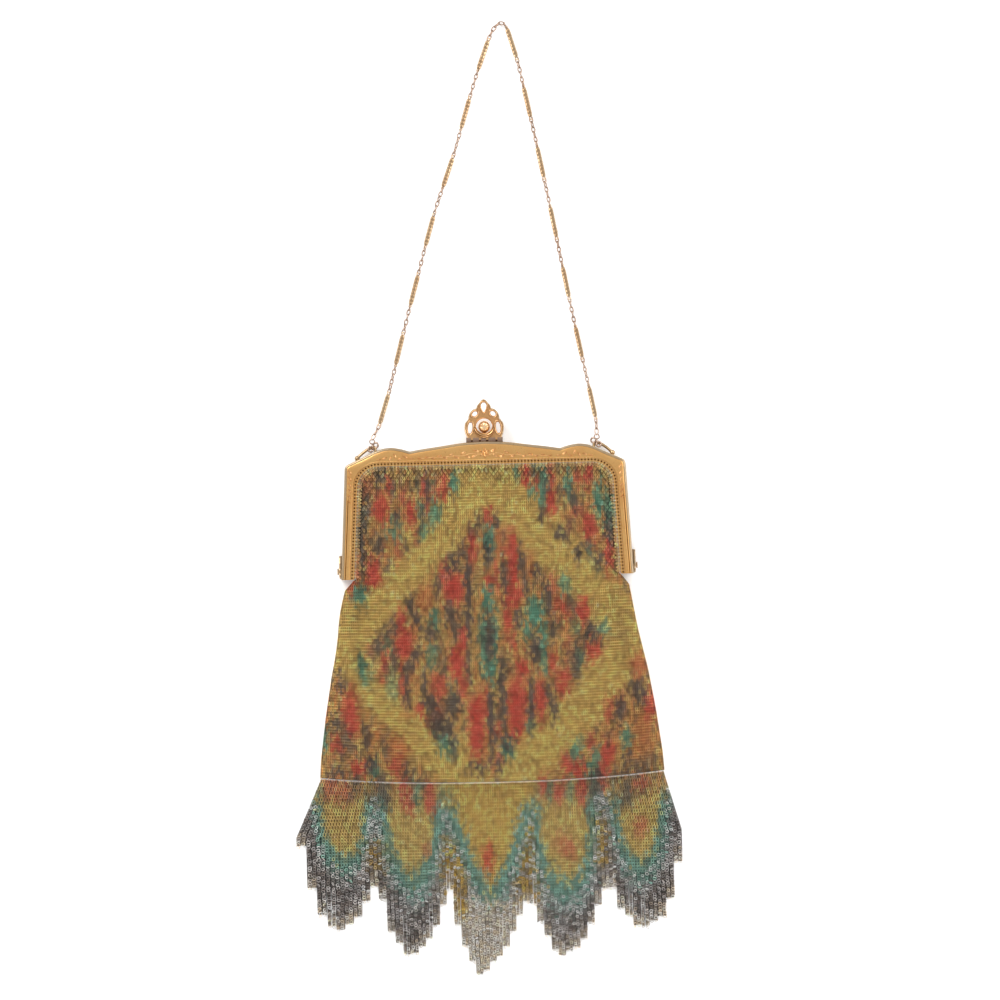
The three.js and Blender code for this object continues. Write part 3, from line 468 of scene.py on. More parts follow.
def stampedHalf(name, faceUp, baseHeight):
    # section points by distance from the sewing holes (d) and height above the meeting plane (z)
    places, out = mouthLine(stamping["stationStep"])
    width = reachOut(places, out, outerEdge())
    depth = purse["halfDepth"]
    turn = np.linspace(0, np.pi / 2, 6)
    inFromEdge = np.concatenate([[0, 0], 0.75 - 0.75 * np.cos(turn), [0.92, 1.02, 1.14]])
    rimHeight = np.concatenate([[0, depth - 1.6], depth - 0.8 + 0.75 * np.sin(turn),
                                [depth - 0.12, depth - 0.14, depth - 0.05]])
    share = np.linspace(0, 1, 23)
    faceD = width[:, None] - 1.14 - (width[:, None] - 1.14 - stamping["step"] - 0.12) * share
    groove = softStep(-10, -16, places[:, 1])[:, None] * np.exp(-(((faceD - 2.65) / 0.17) ** 2))
    faceZ = depth - 0.02 + stamping["crown"] * np.sin(np.pi * share)[None] - 0.28 * groove
    tail = np.array([(0.83, depth - 0.1), (0.8, depth - 0.25), (0.8, stamping["flangeTop"] - 0.7),
                     (1.5, stamping["flangeTop"] - 0.7), (1.6, depth - 0.9)])
    inner = np.array([(0.8, depth - 1.0), (0.8, 0)])
    d = np.hstack([width[:, None] - inFromEdge, faceD[:, 1:], np.repeat(tail[None, :, 0], len(places), 0),
                   width[:, None] - inner[:, 0]])
    z = np.hstack([np.repeat(rimHeight[None], len(places), 0), faceZ[:, 1:],
                   np.repeat(tail[None, :, 1], len(places), 0), np.repeat(inner[None, :, 1], len(places), 0)])
    rim = np.zeros_like(d)
    rim[:, :len(inFromEdge)] = np.array([1, 1, 1, 1, 1, 1, 1, 0.95, 0.75, 0.4, 0.0])
    # painted shade through the hollow mask: a line at the rim's inner foot, the arms' groove, and the walls under the
    # flange
    hollow = np.zeros_like(d)
    hollow[:, len(inFromEdge) - 2] = 0.75
    hollow[:, len(inFromEdge):len(inFromEdge) + 22] = groove[:, 1:] * 0.8
    hollow[:, -5:] = 0.3
    flat = places[:, None] + d[..., None] * out[:, None]
    height = baseHeight + (z if faceUp else -z)
    points = np.dstack([flat, height]).reshape(-1, 3)
    rows, columns = d.shape
    faces = np.vstack([gridQuads(rows, columns, closeColumns=True), endCaps(rows, columns)])
    faces = outward(points, faces)
    parts = [(points, faces)]
    masks = {"rim": [rim.ravel()], "hollow": [hollow.ravel()]}

    holes = sewingFlange(faceUp, baseHeight)
    parts.append(holes)
    masks["rim"].append(np.zeros(len(holes[0])))
    shade = np.repeat(stamping["holeShade"], stamping["holeSides"])
    masks["hollow"].append(np.tile(shade, len(holes[0]) // len(shade)))
    for more in (hingeEars() if faceUp else hingeCheeks() + chainLugs()):
        parts.append(more)
        masks["rim"].append(np.full(len(more[0]), 0.8))
        masks["hollow"].append(np.zeros(len(more[0])))
    points, faces = joinParts(parts)
    piece = addPiece(name, points, faces, frameGilt, crease=50,
                     attributes={key: np.concatenate(value) for key, value in masks.items()})
    return piece


def sewingFlange(faceUp, baseHeight):
    # the flange as cells side by side, each a plate with a round hole, its top, bottom and hole walls
    places, out = mouthLine(stamping["holePitch"])
    count = len(places) - 1
    a, b = places[:-1], places[1:]
    outA, outB = out[:-1], out[1:]
    lip, back = -stamping["lip"], stamping["step"] + 0.1
    side = stamping["holeSides"]
    turn = np.arange(side) / side * 2 * np.pi
    # square boundary points met by the same angles as the circle's, u along the row and v across it
    reach = 1 / np.maximum(np.abs(np.cos(turn)), np.abs(np.sin(turn)))
    squareU, squareV = 0.5 + 0.5 * np.cos(turn) * reach, np.sin(turn) * reach
    squareD = np.where(squareV > 0, squareV * back, -squareV * lip)
    pitch = np.linalg.norm(b - a, axis=1)[:, None]
    circleU = 0.5 + stamping["holeRadius"] * np.cos(turn)[None] / pitch
    circleD = np.repeat((stamping["holeRadius"] * np.sin(turn))[None], count, 0)
    low, high = stamping["flangeTop"] - stamping["sheet"], stamping["flangeTop"]
    tinyU, tinyD = 0.5 + 0.05 * (circleU - 0.5), 0.05 * circleD
    squareU, squareD = np.repeat(squareU[None], count, 0), np.repeat(squareD[None], count, 0)
    rings = []
    for u, d, z in ((squareU, squareD, high), (circleU, circleD, high), (circleU, circleD, low + 0.1),
                    (tinyU, tinyD, low + 0.1), (tinyU, tinyD, low), (squareU, squareD, low)):
        base = a[:, None] * (1 - u[..., None]) + b[:, None] * u[..., None]
        way = unit(outA[:, None] * (1 - u[..., None]) + outB[:, None] * u[..., None])
        flat = base + d[..., None] * way
        height = baseHeight + (z if faceUp else -z)
        rings.append(np.dstack([flat, np.full(flat.shape[:2], height)]))
    points = np.stack(rings, axis=1).reshape(-1, 3)
    one = gridQuads(6, side, closeRows=True, closeColumns=True)
    one = outward(points[:6 * side] - points[:6 * side].mean(axis=0), one)
    return points, repeated(one, count, 6 * side)


hinge = {"up": 3.3, "ear": 2.2, "cheek": 2.5, "cheekThick": 0.6, "cheekTail": 9.6}


def disc(centre, radius, low, high, count=28, bevel=0.12):
    # a round plate across X with softened edges, from low to high along X
    profile = np.array([(0.02, low), (radius - bevel, low), (radius, low + bevel), (radius, high - bevel),
                        (radius - bevel, high), (0.02, high)])
    points, faces = turned(profile, (0, 0, 0), count)
    points = points[:, [2, 0, 1]] + (0, centre[1], centre[2])
    return points, outward(points - (0, centre[1], centre[2]), faces)


def hingeEars():
    # a round plate at each arm's end, on the hinge's line
    parts = []
    height = purse["halfDepth"] + purse["meeting"] / 2
    foot = purse["footHalf"]
    for side in (-1, 1):
        low, high = sorted((side * (foot - 1.2), side * (foot - 0.2)))
        parts.append(disc((0, -purse["armDrop"] + hinge["up"], height), hinge["ear"], low, high))
    return parts


def hingeCheeks():
    # rounded plate outside each ear, with a tail along the arm
    height = purse["halfDepth"] + purse["meeting"] / 2
    hingeY = -purse["armDrop"] + hinge["up"]
    turn = np.linspace(np.pi, np.pi / 4, 14)
    outline = [(-purse["armDrop"] + 0.2, 0.9)]
    outline += [(hingeY + hinge["cheek"] * math.cos(t), height + hinge["cheek"] * math.sin(t)) for t in turn]
    tail = -purse["armDrop"] + hinge["cheekTail"]
    outline += [(hingeY + 3.2, 3.9), (tail - 0.6, 3.3), (tail, 2.6), (tail, 1.2), (tail - 0.3, 0.9)]
    outline = evenly(np.array(outline + outline[:1]), 48, closed=True)
    centre = outline.mean(axis=0)
    parts = []
    for side in (-1, 1):
        inside = purse["footHalf"] + purse["meeting"]
        rows = [(0.02, inside), (1, inside), (1, inside + 0.45), (0.95, inside + 0.58),
                (0.88, inside + hinge["cheekThick"]), (0.02, inside + hinge["cheekThick"])]
        points = np.array([[(side * x, *(centre + share * (o - centre))) for o in outline] for share, x in rows])
        faces = gridQuads(len(rows), len(outline), closeColumns=True)
        points = points.reshape(-1, 3)
        parts.append((points, outward(points - points.mean(axis=0), faces)))
        low, high = sorted((side * (purse["footHalf"] - 0.9), side * (inside + 0.3)))
        parts.append(block((low, -purse["armDrop"] + 0.4, 0.9), (high, tail, 1.8)))
    return parts


def block(low, high):
    corners = np.array([(x, y, z) for x in (low[0], high[0]) for y in (low[1], high[1])
                        for z in (low[2], high[2])], float)
    faces = np.array([(0, 1, 3, 2), (4, 6, 7, 5), (0, 4, 5, 1), (2, 3, 7, 6), (0, 2, 6, 4), (1, 5, 7, 3)])
    return corners, outward(corners - corners.mean(axis=0), faces)


lug = {"inset": 5, "span": 7.4, "rise": 2.2, "wire": 0.6, "knob": 1.05,
       "coils": [(43.5, 7.7), (45.6, 6.1)],  # middles of the two loose rings that hang on each
       "arch": [(0.04, 0.75), (0.2, 1.0), (0.6, 0.95), (1.0, 0.35)]}


def chainLugs():
    # an arched wire on each shoulder, with a knob where its outer foot is soldered
    parts = []
    height = purse["halfDepth"] / 2
    outer = purse["shoulderHalf"] - lug["inset"]
    inner = outer - lug["span"]
    for side in (-1, 1):
        arch = [(inner, topEdgeY(inner) - 0.4)]
        for along, lift in lug["arch"]:
            x = inner + along * lug["span"]
            arch.append((x, topEdgeY(x) + lift * lug["rise"]))
        arch.append((outer, topEdgeY(outer) - 0.4))
        path = smoothCurve([(side * x, y, height) for x, y in arch], 40)
        parts.append(sweep(path, roundSection(lug["wire"], 10)))
        turn = np.linspace(-np.pi / 2 + 0.05, np.pi / 2 - 0.05, 12)
        knob = np.column_stack([lug["knob"] * np.cos(turn), lug["knob"] * np.sin(turn)])
        parts.append(turned(knob, (side * outer, topEdgeY(outer) + lug["knob"] - 0.2, height), 20))
    return parts


frontFrame = stampedHalf("frameFront", True, purse["halfDepth"] + purse["meeting"])
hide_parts("frame_front")
rearFrame = stampedHalf("frameRear", False, purse["halfDepth"])
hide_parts("frame_rear")
for side in ("left", "right"):
    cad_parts["hinge_rivet_" + side].data.materials[0] = rivetBrass
print("frame halves, hinges and lugs are made")


# Pouch: the height of its front and back, and how its sides run

pouch = {
    "mouthY": -1.2,
    "seamY": -128.1,
    "flare": 10.7,
    "mouthFront": 8.0,  # outside of the front panel at the mouth
    "mouthBack": 0.9,
    "footThick": 3.8,
    "edgeSoft": 15,
    "edgeShare": 0.4,
    "edgePower": 10,
    "backSoft": 8,
    "sides": [(0, -0.47), (0.055, -0.16), (0.275, 0.13), (0.483, 0.48), (0.69, 0.74), (0.906, 0.955), (1, 1)],
    "loft": [(0, 1), (0.08, 1), (0.4, 0.88), (0.69, 0.7)],
    "seamLift": 3.2,  # the seam and the rows near it rise towards the sides
    "folds": [
        (1.3, 4.5, [(0.22, -0.73), (0.38, -0.715), (0.6, -0.77), (0.7, -0.785), (0.93, -0.69)]),
        (0.6, 5.0, [(0.34, 0.74), (0.62, 0.8), (0.92, 0.88)]),
    ],
}


def mouthHalfAt(y, shift):
    # half the mouth's width at a height, the row of holes moved out by shift: straight arms into round corners
    radius = purse["mouthRadius"] + shift
    down = shift - y
    arm = (purse["mouthHalfFoot"] - purse["mouthHalfTop"]) * np.maximum(down - radius, 0) / (
        purse["armDrop"] + shift - radius)
    bend = np.maximum(radius - down, 0)
    return purse["mouthHalfTop"] + shift + arm - radius + np.sqrt(np.maximum(radius**2 - bend**2, 0))


def pouchHalfAt(y):
    # half the bag's width: inside the arms the mouth's, below them the table of sides
    down = (-purse["armDrop"] - y) / purse["pouchBelow"]
    sides = np.array(pouch["sides"])
    start = mouthHalfAt(np.array(-purse["armDrop"]), pouch["mouthY"]) - purse["footHalf"]
    start -= pouch["flare"] * sides[0, 1]
    fade = np.clip(1 - down / sides[1, 0], 0, None)
    below = purse["footHalf"] + pouch["flare"] * readTable(sides, down) + start * fade
    return np.where(down <= 0, mouthHalfAt(np.maximum(y, -purse["armDrop"]), pouch["mouthY"]), below)


def foldDepth(x, y):
    # each fold is a bell across its line, fading towards both its ends, with valley the painted shade along its
    # bottom
    down = (pouch["mouthY"] - y) / (pouch["mouthY"] - pouch["seamY"])
    depth, valley = 0, 0
    for deep, wide, bends in pouch["folds"]:
        bends = np.array(bends)
        first, last = bends[0, 0], bends[-1, 0]
        off = x - (purse["footHalf"] + pouch["flare"]) * readTable(bends, down)
        fade = np.sqrt(np.sin(np.pi * np.clip((down - first) / (last - first), 0, 1)))
        depth = depth + deep * fade * np.exp(-((off / wide) ** 2))
        valley = np.maximum(valley, fade * deep / 1.3 * np.exp(-((off / 1.3) ** 2)))
    return depth, valley


def pouchHeights(x, y):
    # back and front of the bag: full thickness by height, rounded off towards the sides, less the folds, and the
    # painted shade along the folds' valleys
    half = pouchHalfAt(y)
    share = np.clip(np.abs(x) / half, 0, 1)
    down = (-purse["armDrop"] - y) / purse["pouchBelow"]
    full = pouch["mouthFront"] - pouch["mouthBack"]
    thick = full * readTable(np.array([*pouch["loft"], (1, pouch["footThick"] / full)]), down)
    soft = np.clip((-purse["armDrop"] - y) / pouch["edgeSoft"], 0, 1)
    toEdge = np.minimum(pouch["mouthY"] - y, half * (1 - share))
    held = np.clip(1 - toEdge / pouch["backSoft"], 0, None) * (1 - soft)
    crown = np.sqrt(np.clip(1 - share ** pouch["edgePower"], 0, None))
    bend = 1 - soft * (1 - pouch["edgeShare"]) * (1 - crown)
    depth, valley = foldDepth(x, y)
    front = (thick + pouch["mouthBack"] * (1 - soft)) * bend - depth * (1 - held)
    return pouch["mouthBack"] * held, front, valley * (1 - held)


# Paint: soft dyed streaks inside and outside a lozenge band, laid stroke by stroke.
# Each stroke is across, up, half width, half height and strength.

paint = {
    "colours": {
        "ground": (244, 200, 114),
        "orange": (240, 142, 86),
        "red": (240, 98, 80),
        "teal": (108, 164, 138),
        "dark": (106, 96, 90),
        "olive": (216, 172, 106),
    },
    "fieldShare": 0.6,
    "strokes": {
        "orange": [
            (-40.8, -35, 1.2, 3.6, 0.6), (-24.8, -50.6, 2.4, 3.2, 0.5), (-25.7, -55.4, 3.6, 3.2, 0.7),
            (-30.4, -66.9, 2, 2.8, 0.6), (-30.7, -87.3, 2, 6.8, 0.45), (-55.3, -89.5, 1.2, 4, 0.5),
            (-16.6, -6.8, 2.4, 3.2, 0.5), (4.9, -29.7, 1.6, 3.6, 0.8), (16.5, -39.2, 1.6, 6, 0.5),
            (16.9, -44.8, 1.4, 2, 0.7), (6.8, -68.6, 1, 5.2, 0.6), (29.4, -58.7, 3.2, 4.4, 0.5),
            (48.1, -45.5, 1.6, 2.8, 0.6), (-2.5, -90.4, 2, 4.4, 0.6), (-46.6, -108.1, 3.6, 3.6, 0.4),
            (-55.9, -95.9, 3.2, 5.6, 0.5), (-37.5, -112.7, 3.6, 4, 0.7), (48.6, -111.6, 3.6, 4, 0.5),
            (59.4, -110.6, 4.8, 8.8, 0.6), (-32.3, -99.3, 4, 3.2, 0.35), (-21.6, -99.5, 4, 4.8, 0.35),
            (-47.4, -8.9, 2.4, 3.2, 0.35), (44.5, -32.3, 2, 3.6, 0.4),
        ],
        "red": [
            (-38.4, -8.7, 1, 3.2, 0.9), (-42, -17.8, 3, 5.2, 0.95), (-33.1, -12.8, 0.9, 3.6, 0.7),
            (-24.6, -8.6, 1, 4.4, 0.95), (-16.6, -9.6, 1.8, 5.2, 0.85), (-20.3, -12.3, 1.6, 2.4, 0.8),
            (-29.9, -20.9, 2, 5.2, 0.95), (-23.7, -15.8, 0.9, 3.6, 0.8), (-28.3, -28.9, 1.2, 2.8, 0.6),
            (-35.6, -34.4, 1.6, 3.6, 0.55), (-45.6, -43.7, 3, 5.6, 1), (-53.5, -44.8, 2, 8.8, 0.7),
            (-47.4, -8.9, 2, 3.2, 0.35), (16.1, -5.6, 1.2, 4.6, 1), (20, -7.3, 1.2, 2.4, 1),
            (26.3, -5.4, 1, 4, 0.8), (25.8, -15.4, 1.8, 6, 1), (37, -6.9, 1.6, 3.2, 0.6),
            (41.1, -6.2, 1.5, 4.4, 1), (36.3, -20.1, 2, 2.4, 0.7), (41, -26.8, 2.4, 5.6, 1),
            (33, -26, 1.2, 3.6, 0.35), (48.7, -37, 1.7, 6.4, 0.95), (0.9, -20.8, 1.4, 3, 0.95),
            (10.1, -39.4, 1.7, 12, 1), (10, -53, 3.2, 4.8, 1), (7.2, -35.4, 1.6, 2, 0.6),
            (26, -49.4, 1.4, 4.8, 0.5), (3.5, -45.3, 0.7, 8, 0.6), (0.5, -47.6, 1.6, 2.4, 0.9),
            (-5.8, -34.3, 1.4, 6.8, 1), (-17.2, -43.8, 1.6, 4.8, 0.9), (-13.6, -50.1, 4, 6.4, 1),
            (-34.5, -63.2, 1.6, 4.4, 1), (-34.1, -72.4, 3.6, 6, 1), (-47.8, -74.1, 1.6, 2, 0.4),
            (-41.5, -78.6, 1.5, 3.6, 0.85), (-43, -84.2, 1.8, 2.8, 0.7), (-35.1, -89.2, 1.3, 5.6, 0.8),
            (-20.5, -89.1, 2.8, 4.8, 0.75), (-10.5, -70.2, 1.6, 4.8, 0.95), (-13.1, -79.7, 3.2, 5.6, 1),
            (-10.9, -89.4, 1.4, 4.4, 0.85), (-5.5, -99.1, 2.8, 6, 1), (-28.5, -98.2, 1.6, 2.4, 1),
            (-20.8, -101.1, 2, 2, 0.5), (-56.3, -98.3, 2.8, 3.6, 0.9), (-56.7, -95.1, 2.4, 4.8, 0.6),
            (7.5, -62.2, 1.2, 6.8, 0.85), (9.7, -72.2, 0.9, 3.6, 0.85), (28.3, -57.1, 2.4, 3.2, 0.6),
            (31, -60.7, 2, 2.4, 0.6), (37.8, -60.1, 2.4, 4.8, 0.95), (41.4, -76.2, 3.2, 3.2, 0.9),
            (31.5, -73.6, 1.4, 4.4, 0.45), (25.1, -80.6, 1.6, 4, 0.85), (29.1, -88.3, 3, 4.8, 0.9),
            (12.9, -82.3, 2.4, 4, 1), (10.6, -95.5, 3.6, 8.8, 1), (10.3, -104.3, 3.2, 5.6, 1),
            (19.8, -95.3, 2.2, 8.4, 0.95), (-1.9, -96, 0.9, 5.6, 0.6), (59.3, -82.6, 3.2, 3.2, 0.6),
            (63.7, -98.7, 2.4, 5.6, 0.85), (47.3, -99.5, 2, 4, 0.7), (-55.7, -103.9, 2.8, 4.4, 1),
            (-62.3, -111.8, 1.6, 2.8, 0.95), (-59.9, -114.2, 1.2, 2, 0.7), (-52.5, -121.2, 3.6, 2, 1),
            (-38, -119.9, 3.2, 3.6, 0.75), (-5.8, -109.1, 2.8, 9.6, 1), (-24.8, -103.4, 1.6, 3.2, 0.5),
            (-21.9, -98.7, 2, 2, 0.5), (39.8, -112.2, 1.2, 3.6, 0.7), (46.1, -117.1, 2.4, 4, 1),
            (33.5, -123.2, 4.8, 2.4, 1), (43.1, -123.4, 4, 2, 1), (30.4, -118.7, 2.4, 2.4, 0.8),
            (3.2, -118.1, 1.2, 4, 0.8), (2.7, -106.5, 1.6, 3.2, 0.7), (-0.5, -122.4, 0.8, 2.8, 0.6),
            (52.1, -96.5, 1.6, 4, 0.5), (-63.9, -128.9, 3.6, 4, 0.6), (-35.9, -131.2, 1.4, 5.2, 1),
            (-32.8, -134.5, 2, 5.2, 0.9), (-25.5, -133, 1.8, 5.6, 1), (-24, -137.1, 2, 3.2, 0.8),
            (20.1, -130.1, 1.6, 4.8, 0.95), (26.5, -132.3, 2.4, 4, 1), (35.7, -131.7, 2, 4.8, 1),
            (44.2, -129.9, 2, 4.8, 0.9), (59, -129.4, 3.2, 2.4, 0.8), (-58.2, -128.3, 1.2, 2, 0.5),
            (-2.5, -157.6, 1.6, 4.8, 0.7), (-2.6, -160, 2.4, 6.4, 0.35), (-26.9, -155.4, 2, 3.6, 0.5),
            (29.9, -155.9, 2.8, 4, 0.6), (27.2, -151.9, 3.2, 3.2, 0.35), (58.6, -147, 2.4, 3.6, 0.7),
            (-59.1, -131, 2.4, 3.6, 0.45),
        ],
        "teal": [
            (-48.9, -20.1, 1.2, 3.6, 0.5), (-21.4, -8.3, 1.2, 1.6, 0.5), (-12.6, -8.1, 1.8, 3.6, 0.95),
            (-36.8, -26.5, 2.6, 3.4, 0.75), (-26, -18.2, 1.4, 4, 0.8), (-19.7, -19.1, 2, 3.6, 0.8),
            (-21.3, -22.3, 1.6, 3.2, 0.7), (-25.5, -27.4, 1.2, 3.2, 0.85), (-50.8, -52.4, 2.4, 4, 1),
            (-27.6, -7.8, 1.2, 2, 0.4), (12.5, -4.3, 1.2, 3.2, 0.8), (18.7, -2.8, 1.2, 2, 0.6),
            (22.8, -9.7, 1.6, 8.4, 0.9), (18.5, -12.4, 1.8, 2.2, 0.8), (33, -9.8, 1.6, 3.6, 0.95),
            (34.1, -14.4, 1.4, 2.8, 0.6), (44.8, -15.9, 1.8, 7.6, 0.95), (48.9, -21.2, 2, 8, 0.9),
            (40.7, -36.6, 1.6, 1.6, 0.7), (44.2, -43.5, 1.6, 2, 0.35), (0.9, -30.4, 2, 4, 0.95),
            (0.6, -35.2, 1.8, 4, 0.7), (30.3, -49.1, 2, 4, 0.7), (0.1, -31.6, 1.6, 5.6, 0.6),
            (-0.3, -54, 1.4, 3.2, 0.9), (-40.1, -72.3, 2, 2, 0.7), (-51.1, -80.4, 1.6, 4, 0.9),
            (-49.2, -84.9, 2.4, 3.2, 0.6), (-39.1, -88.7, 2.4, 5.2, 0.5), (-21.5, -62.7, 1.8, 3.6, 0.95),
            (-23, -76.7, 2, 4, 0.7), (-2.1, -71.2, 1.8, 11.2, 0.9), (-0.1, -55.2, 1.6, 4.8, 0.9),
            (2.1, -70.1, 1.2, 10.8, 0.9), (0, -82.8, 2.4, 5.2, 1), (-15.7, -90.9, 1.8, 3.6, 0.5),
            (18.6, -60.5, 3.4, 5.6, 1), (15.4, -68, 1.6, 3.2, 0.9), (21.7, -73.7, 1.4, 9.6, 0.9),
            (45.8, -67.5, 2, 2.8, 0.8), (35.2, -66.8, 1.6, 2.4, 0.6), (35.8, -78.9, 1.6, 4, 0.7),
            (21.6, -83.7, 1, 2.8, 0.6), (30.8, -50.3, 2.4, 2.4, 0.3), (-66.6, -107.7, 1.2, 3.6, 0.8),
            (-67.4, -111.2, 1.2, 2.8, 0.8), (-46.5, -122.1, 2, 2.8, 0.8), (-19.4, -111.6, 2, 3.2, 0.95),
            (-16.3, -114, 2.4, 3.6, 0.7), (6.1, -115.4, 2.8, 3.6, 0.95), (15.5, -105.6, 1.6, 3.2, 0.7),
            (53.8, -110.9, 2.4, 3.6, 0.9), (33.3, -116.8, 2, 3.2, 0.85), (41.2, -119, 2, 3.2, 0.8),
            (39.9, -124.2, 2, 2.8, 0.95), (35, -112.5, 1.6, 2.4, 0.6), (-30.3, -132.5, 1.4, 5.6, 0.85),
            (-19.1, -130.8, 3.2, 2.4, 0.45), (22.9, -131.8, 1.2, 4.8, 0.7), (30.9, -132, 1.6, 4.4, 0.6),
            (40.5, -131.4, 1.6, 3.2, 0.5), (-69.9, -129.6, 1.6, 3.2, 0.4), (-48.1, -122.1, 1.6, 2.4, 0.5),
        ],
        "dark": [
            (-41.8, -4.1, 2.6, 2.4, 0.85), (-37, -9.5, 0.8, 3.2, 0.6), (-47, -16.9, 0.9, 5.6, 0.8),
            (-50.2, -26.4, 1.6, 4.4, 0.75), (-48.9, -22.1, 0.8, 4.8, 0.7), (-30.2, -7.7, 1.2, 1.6, 0.5),
            (-27.6, -7.8, 1, 2, 0.6), (-23.4, -10.3, 0.8, 6.8, 0.8), (-35.5, -20.4, 1.4, 2.4, 0.9),
            (-25.5, -19.8, 0.7, 4, 0.75), (-23.7, -22.2, 1, 2, 0.5), (-27.5, -29, 0.8, 2.8, 0.5),
            (-42.8, -33, 1.6, 3.2, 0.75), (-32.4, -33.6, 2, 1.6, 0.7), (-38.5, -39.1, 1.2, 1.6, 0.7),
            (-40.6, -41.1, 2.4, 1.2, 0.6), (-49.7, -36.4, 1, 7.2, 0.9), (-46.6, -8.9, 1.6, 2.8, 0.35),
            (-32.7, -11.2, 0.9, 2.8, 0.5), (-44.3, -30.2, 3.2, 2, 0.4), (22.1, -21.7, 1.4, 2.8, 0.9),
            (29.7, -11.5, 1.6, 2.4, 0.8), (34.8, -16, 1.2, 3.2, 0.75), (36.4, -18.1, 1.6, 2, 0.7),
            (48.4, -27.1, 1.4, 4.8, 0.85), (49.3, -30.4, 1.4, 2.8, 0.8), (29.5, -29.5, 2.2, 2.6, 0.95),
            (32, -32.4, 1.2, 1.6, 0.7), (33, -26, 1.2, 3.6, 0.45), (36.3, -37.3, 1.6, 2.8, 0.95),
            (40.4, -34.6, 2.4, 2.4, 0.6), (44.9, -39.9, 2, 2.4, 0.95), (53, -43.3, 1.6, 2, 0.5),
            (18.8, -2, 0.8, 2, 0.4), (24.6, -7.8, 0.6, 4.8, 0.5), (4, -24.1, 1.4, 2.2, 0.9),
            (6.5, -30.2, 0.8, 3.2, 0.5), (0.6, -36, 1.2, 3.6, 0.75), (13.2, -35.9, 0.8, 3.2, 0.85),
            (13.8, -41.5, 0.8, 4, 0.85), (14.9, -48.4, 0.8, 5.6, 0.85), (19.4, -44.1, 1.2, 1.8, 0.9),
            (21.3, -46.9, 1.2, 1.8, 0.9), (23.2, -50.2, 1.2, 1.8, 0.85), (23.5, -54.6, 0.9, 3.2, 0.7),
            (6.5, -46.6, 1, 6.4, 0.85), (0.7, -39.2, 1.4, 2.4, 0.5), (-3, -23.5, 1.2, 2, 0.7),
            (-6.2, -27.1, 1.2, 2, 0.6), (-0.4, -36, 1, 2.8, 0.6), (-9.6, -35.4, 1.6, 3.6, 0.8),
            (-13.4, -40.5, 2.2, 3.2, 0.95), (-15.8, -42.8, 1.6, 2, 0.7), (-7.7, -46.6, 1.3, 8, 0.95),
            (-19.7, -47.9, 0.8, 6, 0.7), (-30.9, -56.1, 1.4, 3.2, 0.95), (-28.3, -62.6, 1.8, 2.6, 0.95),
            (-37.7, -64.3, 1.6, 2.8, 0.7), (-40.4, -67.9, 2, 2, 0.6), (-44.1, -71.4, 2.4, 2.8, 0.7),
            (-46.4, -76.9, 2, 2.4, 0.7), (-38.1, -79.1, 1.6, 4, 0.7), (-40.7, -81.5, 1.6, 2, 0.5),
            (-28.6, -74.9, 1.2, 2.8, 0.8), (-30.3, -78.9, 1.2, 2.8, 0.8), (-31.9, -82.1, 1.2, 2.4, 0.7),
            (-23.2, -67.5, 2.2, 2.8, 0.85), (-33.1, -87.6, 1.1, 6.8, 0.9), (-33.1, -95.2, 1.6, 2, 0.9),
            (-26.3, -89, 1.1, 5.6, 0.85), (-25.8, -95, 1.2, 2, 0.8), (-18.7, -82.4, 1.6, 2.4, 0.6),
            (-19.7, -74, 1.2, 5.6, 0.4), (-15.4, -59.7, 1.2, 5.6, 0.8), (-13.1, -63.7, 2, 5.6, 0.7),
            (-8.2, -61, 0.9, 10.8, 0.95), (-8.7, -81.8, 0.8, 9.6, 0.7), (-14.7, -97.3, 2.8, 3.6, 0.85),
            (-15.8, -92.5, 2, 2.8, 0.45), (-23.9, -96.3, 2.4, 2.8, 0.85), (-59.7, -87, 1.6, 3.6, 0.95),
            (-18.3, -96.8, 2, 2.8, 0.5), (-0, -70, 1.8, 8.8, 0.95), (5.1, -79.3, 1, 4.8, 0.6),
            (4.8, -92.1, 1.2, 12, 0.9), (11.1, -63.1, 1.4, 3.8, 0.9), (7.7, -82.6, 1.6, 2.8, 0.5),
            (18.4, -74.9, 1.7, 6.8, 0.95), (24.2, -58.2, 0.9, 7.6, 0.8), (25.2, -67.8, 1, 3.6, 0.6),
            (27.3, -65.9, 1.6, 2.4, 0.5), (33.1, -57.2, 1.4, 4.4, 0.6), (34.2, -60.8, 0.8, 2.4, 0.7),
            (39.6, -69, 1.6, 3.2, 0.95), (42, -69.8, 2, 2.4, 0.8), (35.3, -73.7, 1.2, 4, 0.7),
            (34.5, -82.4, 1.6, 5.6, 0.65), (32.6, -78, 1.2, 5.6, 0.5), (16.4, -94.4, 1, 9.6, 0.85),
            (22.6, -91.8, 1, 3.2, 0.75), (24.5, -95.8, 1, 3.6, 0.8), (25.6, -101.4, 1, 3.6, 0.7),
            (-0.3, -96.8, 0.9, 8, 0.85), (53.2, -69.7, 2, 2.4, 0.25), (59.4, -93, 2.4, 3.6, 0.85),
            (57.5, -90.2, 1.6, 2, 0.5), (52.1, -98.9, 1.8, 4, 0.8), (62.6, -95.5, 1.2, 2.4, 0.5),
            (-61.6, -103, 2.8, 2.8, 0.8), (-58.6, -108.7, 2.4, 2.8, 0.7), (-56.6, -111.5, 2, 2.4, 0.6),
            (-63.7, -121.7, 1.6, 2, 0.8), (-60.5, -121.8, 2, 2, 0.95), (-57.5, -115.5, 4.8, 1.6, 0.6),
            (-48.4, -119.7, 1.6, 2.8, 0.9), (-47.2, -117.7, 1.6, 1.6, 0.7), (-50.1, -106.4, 1.6, 3.2, 0.7),
            (-49.8, -110.9, 1.2, 2.8, 0.7), (-42.3, -114.2, 1.2, 3.2, 0.7), (-34.9, -122.4, 2, 2.4, 0.8),
            (-32.9, -124.5, 1.6, 2, 0.8), (-21.7, -106.7, 2.4, 3.2, 0.85), (-17.7, -106, 2.4, 4, 0.8),
